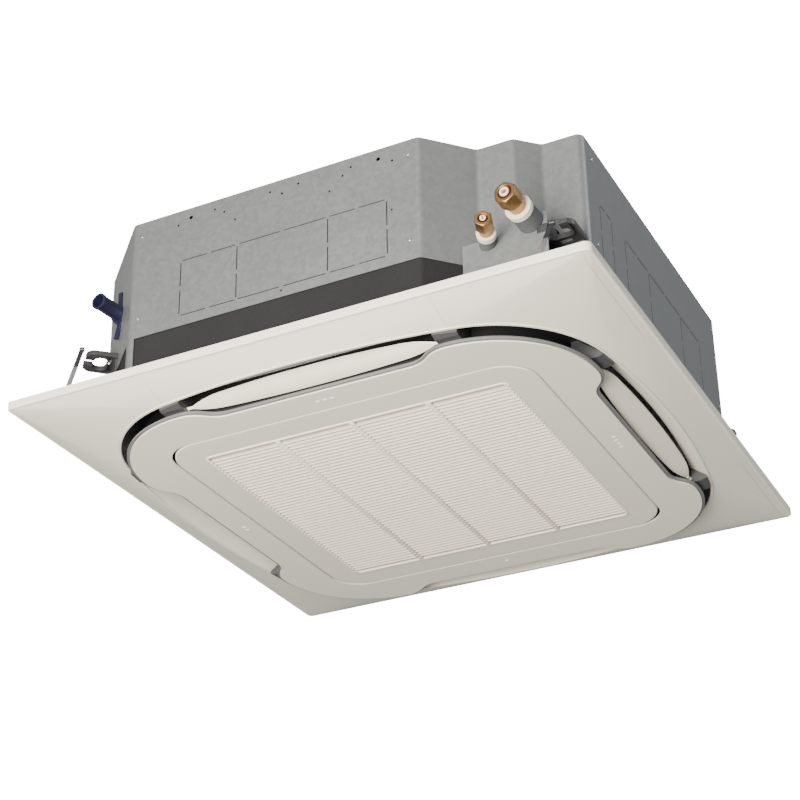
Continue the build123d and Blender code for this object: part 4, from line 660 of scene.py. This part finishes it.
def flare_nut(name, flats, start, length, bore):
    """A flare nut whose hexagon ends at start + length."""
    end = start + length
    corner = flats / 2 / cos(pi / 6)
    hexagon_start = start + 0.36 * length
    nut = bar(name, corner, hexagon_start, end, sides=6)
    lathe = rounded(bar("lathe", corner * 0.985, hexagon_start - 0.01, end + 0.01, sides=96), 0.09 * flats, 1)
    combined(nut, lathe, "INTERSECT")
    shoulder = bar("shoulder", 0.41 * flats, start, hexagon_start + 1.0, sides=96, tip=0.46 * flats)
    combined(nut, shoulder, "UNION")
    combined(nut, bar("bore", bore, start - 1.0, end + 1.0, sides=96), "DIFFERENCE")
    combined(nut, bar("mouth", bore, end - 5.0, end + 1.0, sides=96, tip=bore + 3.5), "DIFFERENCE")
    return rounded(nut, 0.35, 2)


gas_nut = seated(flare_nut("gas_nut", 31.0, 43.2, 42.8, 8.0), gas_root, gas_out)
liquid_nut = seated(flare_nut("liquid_nut", 24.0, 29.2, 36.8, 4.8), liquid_root, liquid_out)
fitted(joined("flare_nuts_turned", [gas_nut, liquid_nut]), brass, "brass_nut", "flare_nuts")

gas_plug = rounded(bar("gas_plug", 7.0, 74.0, 88.0), 1.0, 3)
combined(gas_plug, bar("gas_plug_hole", 4.2, 78.0, 92.0), "DIFFERENCE")
seated(rounded(gas_plug, 0.3, 2), gas_root, gas_out)
liquid_plug = rounded(bar("liquid_plug", 4.7, 56.0, 67.0), 0.8, 3)
combined(liquid_plug, block("liquid_plug_slot", (-0.9, -3.4, 64.0), (0.9, 3.4, 70.0)), "DIFFERENCE")
seated(rounded(liquid_plug, 0.2, 2), liquid_root, liquid_out)
plug_pink = moulded("plug_pink", paint(0.74, 0.56, 0.50), 0.42, cloud=0.08)
plugs = joined("plugs_turned", [gas_plug, liquid_plug])
fitted(plugs, plug_white, "plug_blue", "pipe_plugs")
plugs.data.materials.append(plug_pink.material)
for face in plugs.data.polygons:
    if face.center.x < (gas_root[0] + liquid_root[0]) / 2 * mm:
        face.material_index = 1

# %% [markdown]
# Pan-head screws hold the sheets together. One head is modelled, with a domed rim and a cross
# recess, and then copied to its sixteen places, each copy with a mesh of its own and turned a
# little, because no two screws stop at the same angle.

# %% Screw heads
screw_heights = (122.0, 272.0)
wall_out = 420.0
screw = rounded(bar("screw_head", 3.2, -0.4, 1.6, sides=40), 0.9, 3)
for low, high in (((-0.35, -2.0, 0.7), (0.35, 2.0, 2.2)), ((-2.0, -0.35, 0.7), (2.0, 0.35, 2.2))):
    combined(screw, block("recess", low, high), "DIFFERENCE")
heads = []
for wall, (place_x, place_y, along, spots) in enumerate((
    (0, -wall_out, (0, -1, 0), (-280.0, 185.0)),
    (wall_out, 0, (1, 0, 0), (-280.0, 280.0)),
    (0, wall_out, (0, 1, 0), (-280.0, 280.0)),
    (-wall_out, 0, (-1, 0, 0), (-280.0, 280.0)),
)):
    for spot in spots:
        for height in screw_heights:
            place = (place_x or spot, place_y or spot, height)
            lean = radians(23.0 * (wall + spot / 93.0 + height / 71.0))
            head = copied(screw, "head")
            head_up = (sin(lean) * abs(along[1]), sin(lean) * abs(along[0]), cos(lean))
            heads.append(seated(head, place, along, up=head_up))
bpy.data.objects.remove(screw)
fitted(joined("casing_screw_heads", heads), zinc_steel, "steel", "casing_screws")

# %% [markdown]
# The hanging brackets are pressed from sheet: a plate with a wide pocket for the hanging rod, two
# horns that close its mouth, a rim turned down all round, and a foot on the housing's wall. Three
# stand on the cut corners. The one beside the pipes reaches further, because its wall lies back.

# %% Hanging brackets
def hook(name, rod_reach):
    """A bracket whose wall is at X = 0; the rod stands at X = rod_reach and slides in from outside."""
    reach = rod_reach + 27.0
    half = 29.0
    pocket_start = rod_reach - 8.0
    pocket_end = rod_reach + 13.0
    plate = block(name, (0.0, -half, 104.0), (reach, half, 112.0))
    rounded_corners(plate, 15.0, lambda x, y: x > reach - 1.0)
    hollow = block("hollow", (-1.0, 2.5 - half, 100.0), (reach - 2.5, half - 2.5, 109.5))
    rounded_corners(hollow, 12.5, lambda x, y: x > reach - 4.0)
    combined(plate, hollow, "DIFFERENCE")
    rim = block("rim", (pocket_start - 2.5, -21.5, 104.0), (reach - 0.2, 21.5, 111.0))
    rounded_corners(rim, 10.0, lambda x, y: x < rod_reach)
    combined(plate, rim, "UNION")
    pocket = block("pocket", (pocket_start, -19.0, 90.0), (pocket_end, 19.0, 120.0))
    rounded_corners(pocket, 9.4, lambda x, y: True)
    combined(plate, pocket, "DIFFERENCE")
    mouth = block("mouth", (rod_reach, -8.5, 90.0), (reach + 5.0, 8.5, 120.0))
    combined(plate, mouth, "DIFFERENCE")
    foot = block("foot", (0.0, -23.0, 62.0), (3.0, 23.0, 111.0))
    combined(plate, foot, "UNION")
    window = block("window", (-1.0, -8.0, 71.5), (4.0, 8.0, 80.5))
    combined(plate, window, "DIFFERENCE")
    slit = block("slit", (6.0, -9.0, 90.0), (6.0 + 0.25 * rod_reach, 9.0, 120.0))
    combined(plate, slit, "DIFFERENCE")
    return rounded(plate, 0.7, 2)


brackets = []
for foot_x, foot_y, out_x, out_y, rod_reach in (
    (-375.0, -340.0, -1.0, -1.0, 21.2),
    (-375.0, 340.0, -1.0, 1.0, 21.2),
    (375.0, 340.0, 1.0, 1.0, 21.2),
    (390.0, -317.0, 0.0, -1.0, 38.0),
):
    bracket = hook("hook", rod_reach)
    brackets.append(seated(bracket, (foot_x, foot_y, 0.0), (0, 0, 1), up=(-out_y, out_x, 0)))
fitted(joined("brackets_pressed", brackets), black_paint, "bracket_black", "hanger_brackets")

# %% [markdown]
# The drain socket is one blue moulding: a tube with a thick lip, a round boss at its foot, and two
# narrow tabs that hold it behind the sheet's edge, one upwards and one leaning down.

# %% Drain socket
socket_root = (-352.0, -363.0, 179.0)
socket_out = (-0.121869, -0.992546, 0.0)
tube = bar("drain_tube", 12.6, -12.0, 54.0, sides=72)
combined(tube, bar("lip", 13.6, 49.0, 54.0, sides=72), "UNION")
combined(tube, bar("boss", 17.5, -10.0, 7.0, sides=72, tip=15.5), "UNION")
combined(tube, block("tab_up", (-3.6, 0.0, 1.0), (3.6, 40.0, 5.0)), "UNION")
low_tab = block("tab_down", (-3.6, -44.0, 1.0), (3.6, 0.0, 5.0))
low_tab.rotation_euler = (0.0, 0.0, radians(-14.0))
only(low_tab)
bpy.ops.object.transform_apply(location=True, rotation=True, scale=True)
combined(tube, low_tab, "UNION")
combined(tube, bar("tube_bore", 10.0, -9.0, 55.0, sides=72), "DIFFERENCE")
combined(tube, bar("spigot_bore", 7.0, -13.0, 0.0, sides=72), "DIFFERENCE")
seated(rounded(tube, 0.7, 2), socket_root, socket_out)
fitted(tube, socket_blue, "socket_blue", "drain_socket", "drain_collar")

# %% [markdown]
# The louvre has a raised cream border with round corners and three flat ribs. Round beads sit
# where the slats cross the ribs, and finer ones run along the side borders. One bead is modelled
# and copied; each copy has its own mesh before all are joined.

# %% Louvre beads
bead_spacing = 10.0
bead_level = -50.2
rib_reach = 128.0
side_reach = 254.8
rib_half = 3.6
rib_end = 252.8
bpy.ops.object.select_all(action="DESELECT")
bpy.ops.mesh.primitive_uv_sphere_add(segments=12, ring_count=6, radius=1.0, location=(0, 0, 0))
bead = fresh("bead")
bead.scale = (3.2 * mm, 4.2 * mm, 1.5 * mm)
only(bead)
bpy.ops.object.transform_apply(location=True, rotation=True, scale=True)
row = [bead]
for step in range(-24, 26):
    row.append(copied(bead, "bead_in_row"))
    row[-1].location = (0.0, (step - 0.5) * bead_spacing * mm, bead_level * mm)
only(bead)
bpy.data.objects.remove(row.pop(0))
rib = joined("rib_beads", row)
only(rib)
bpy.ops.object.transform_apply(location=True, rotation=True, scale=True)
rows = [rib]
for rib_place, width in ((-side_reach, 0.55), (-rib_reach, 1.0), (rib_reach, 1.0), (side_reach, 0.55)):
    rows.append(copied(rib, "rib_copy"))
    rows[-1].scale = (width, 1.0, 1.0)
    rows[-1].location = (rib_place * mm, 0.0, 0.0)
    only(rows[-1])
    bpy.ops.object.transform_apply(location=True, rotation=True, scale=True)
bead_cream = moulded("bead_cream", paint(0.96, 0.88, 0.74), 0.45)
border = block("border", (-257.0, -257.0, -50.9), (257.0, 257.0, -49.6))
rounded_corners(border, 12.0, lambda x, y: True)
inside = block("inside", (-252.6, -252.6, -53.0), (252.6, 252.6, -48.0))
rounded_corners(inside, 8.0, lambda x, y: True)
combined(border, inside, "DIFFERENCE")
rows.append(rounded(border, 0.4, 2))
for rib_place in (-rib_reach, 0.0, rib_reach):
    rib_low = (rib_place - rib_half, -rib_end, -51.2)
    rib_high = (rib_place + rib_half, rib_end, -47.0)
    rows.append(rounded(block("rib", rib_low, rib_high), 0.4, 2))
    only(rows[-1])
    bpy.ops.object.transform_apply(location=True, rotation=True, scale=True)
beads = joined("louvre_beads", rows)
only(beads)
bpy.ops.object.shade_smooth()
beads.data.materials.clear()
beads.data.materials.append(bead_cream.material)
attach(beads, "grille")
print("beads", len(beads.data.polygons))

# %% [markdown]
# A spring strip runs from each panel corner up to the housing and holds the panel while it is
# screwed on. Its upper end is hooked over and dipped black.

# %% Hanging straps
straps = []
for top, foot in (
    ((-403.5, -390.0, 117.0), (-371.0, -463.0, 0.5)),
    ((-403.5, 390.0, 117.0), (-371.0, 463.0, 0.5)),
    ((403.5, 390.0, 117.0), (371.0, 463.0, 0.5)),
    ((386.0, -372.5, 116.0), (394.0, -462.8, 0.5)),
):
    run = Vector(foot) - Vector(top)
    strip = block("strip", (-1.1, -3.6, 0.0), (1.1, 3.6, run.length))
    hooked = bar("hooked", 4.0, -3.6, 3.6, sides=32)
    hooked.rotation_euler = (radians(90.0), 0.0, 0.0)
    only(hooked)
    bpy.ops.object.transform_apply(location=True, rotation=True, scale=True)
    combined(strip, hooked, "UNION")
    straps.append(seated(rounded(strip, 0.4, 2), top, run, up=(run.y, -run.x, 0)))
fitted(joined("straps_sprung", straps), strap_dip, "steel", "panel_straps")

# %% [markdown]
# A grey ledge shows all round the inner panel, a few millimetres wider than its edge. It starts as
# a copy of that panel, swollen along its normals, pressed flat again and cut out in the middle.

# %% Grey ledge round the inner panel
ledge_overhang = 7.0
ledge_flatness = 0.22
ledge_lift = 2.2
ledge = copied(nodes["inner_panel"], "inner_ledge")
ledge.parent = None
ledge.matrix_world = Matrix.Identity(4)
only(ledge)
bpy.ops.object.mode_set(mode="EDIT")
bpy.ops.mesh.select_all(action="SELECT")
bpy.ops.mesh.remove_doubles(threshold=0.00005)
bpy.ops.object.mode_set(mode="OBJECT")
swell = ledge.modifiers.new("swell", "DISPLACE")
swell.strength = ledge_overhang * mm
swell.mid_level = 0.0
bpy.ops.object.modifier_apply(modifier=swell.name)
middle_height = -48.5 * mm
bpy.ops.object.mode_set(mode="EDIT")
bpy.ops.mesh.select_all(action="SELECT")
bpy.ops.transform.resize(value=(1.0, 1.0, ledge_flatness), center_override=(0.0, 0.0, middle_height))
bpy.ops.transform.translate(value=(0.0, 0.0, ledge_lift * mm))
bpy.ops.object.mode_set(mode="OBJECT")
eye = block("eye", (-335.0, -335.0, -70.0), (335.0, 335.0, -20.0))
rounded_corners(eye, 70.0, lambda x, y: True)
combined(ledge, eye, "DIFFERENCE")
fitted(ledge, band_grey, "band_grey")
ledge_low = min(v.co.z for v in ledge.data.vertices)
ledge_high = max(v.co.z for v in ledge.data.vertices)
print("ledge from", round(ledge_low, 4), "to", round(ledge_high, 4))

# %% [markdown]
# Two last fittings catch the eye in the photograph: a bright clip screw under the drain socket,
# and a pale stud beside the bracket at the pipes.

# %% Clip screw and stud
clip = rounded(bar("clip_screw", 3.4, -1.0, 3.5, sides=32), 1.0, 3)
combined(clip, block("clip_slot", (-0.5, -2.4, 2.4), (0.5, 2.4, 5.0)), "DIFFERENCE")
seated(clip, (-354.0, -361.0, 164.0), (-1, -1, 0))
fitted(clip, zinc_steel, "steel")
stud = rounded(bar("stud", 4.0, 52.0, 92.0, sides=32), 0.8, 3)
combined(stud, bar("stud_neck", 5.5, 84.0, 90.0, sides=6), "UNION")
seated(stud, (371.0, -320.8, 0.0), (0, 0, 1), up=(0, 1, 0))
fitted(stud, collar_cream, "collar_cream")
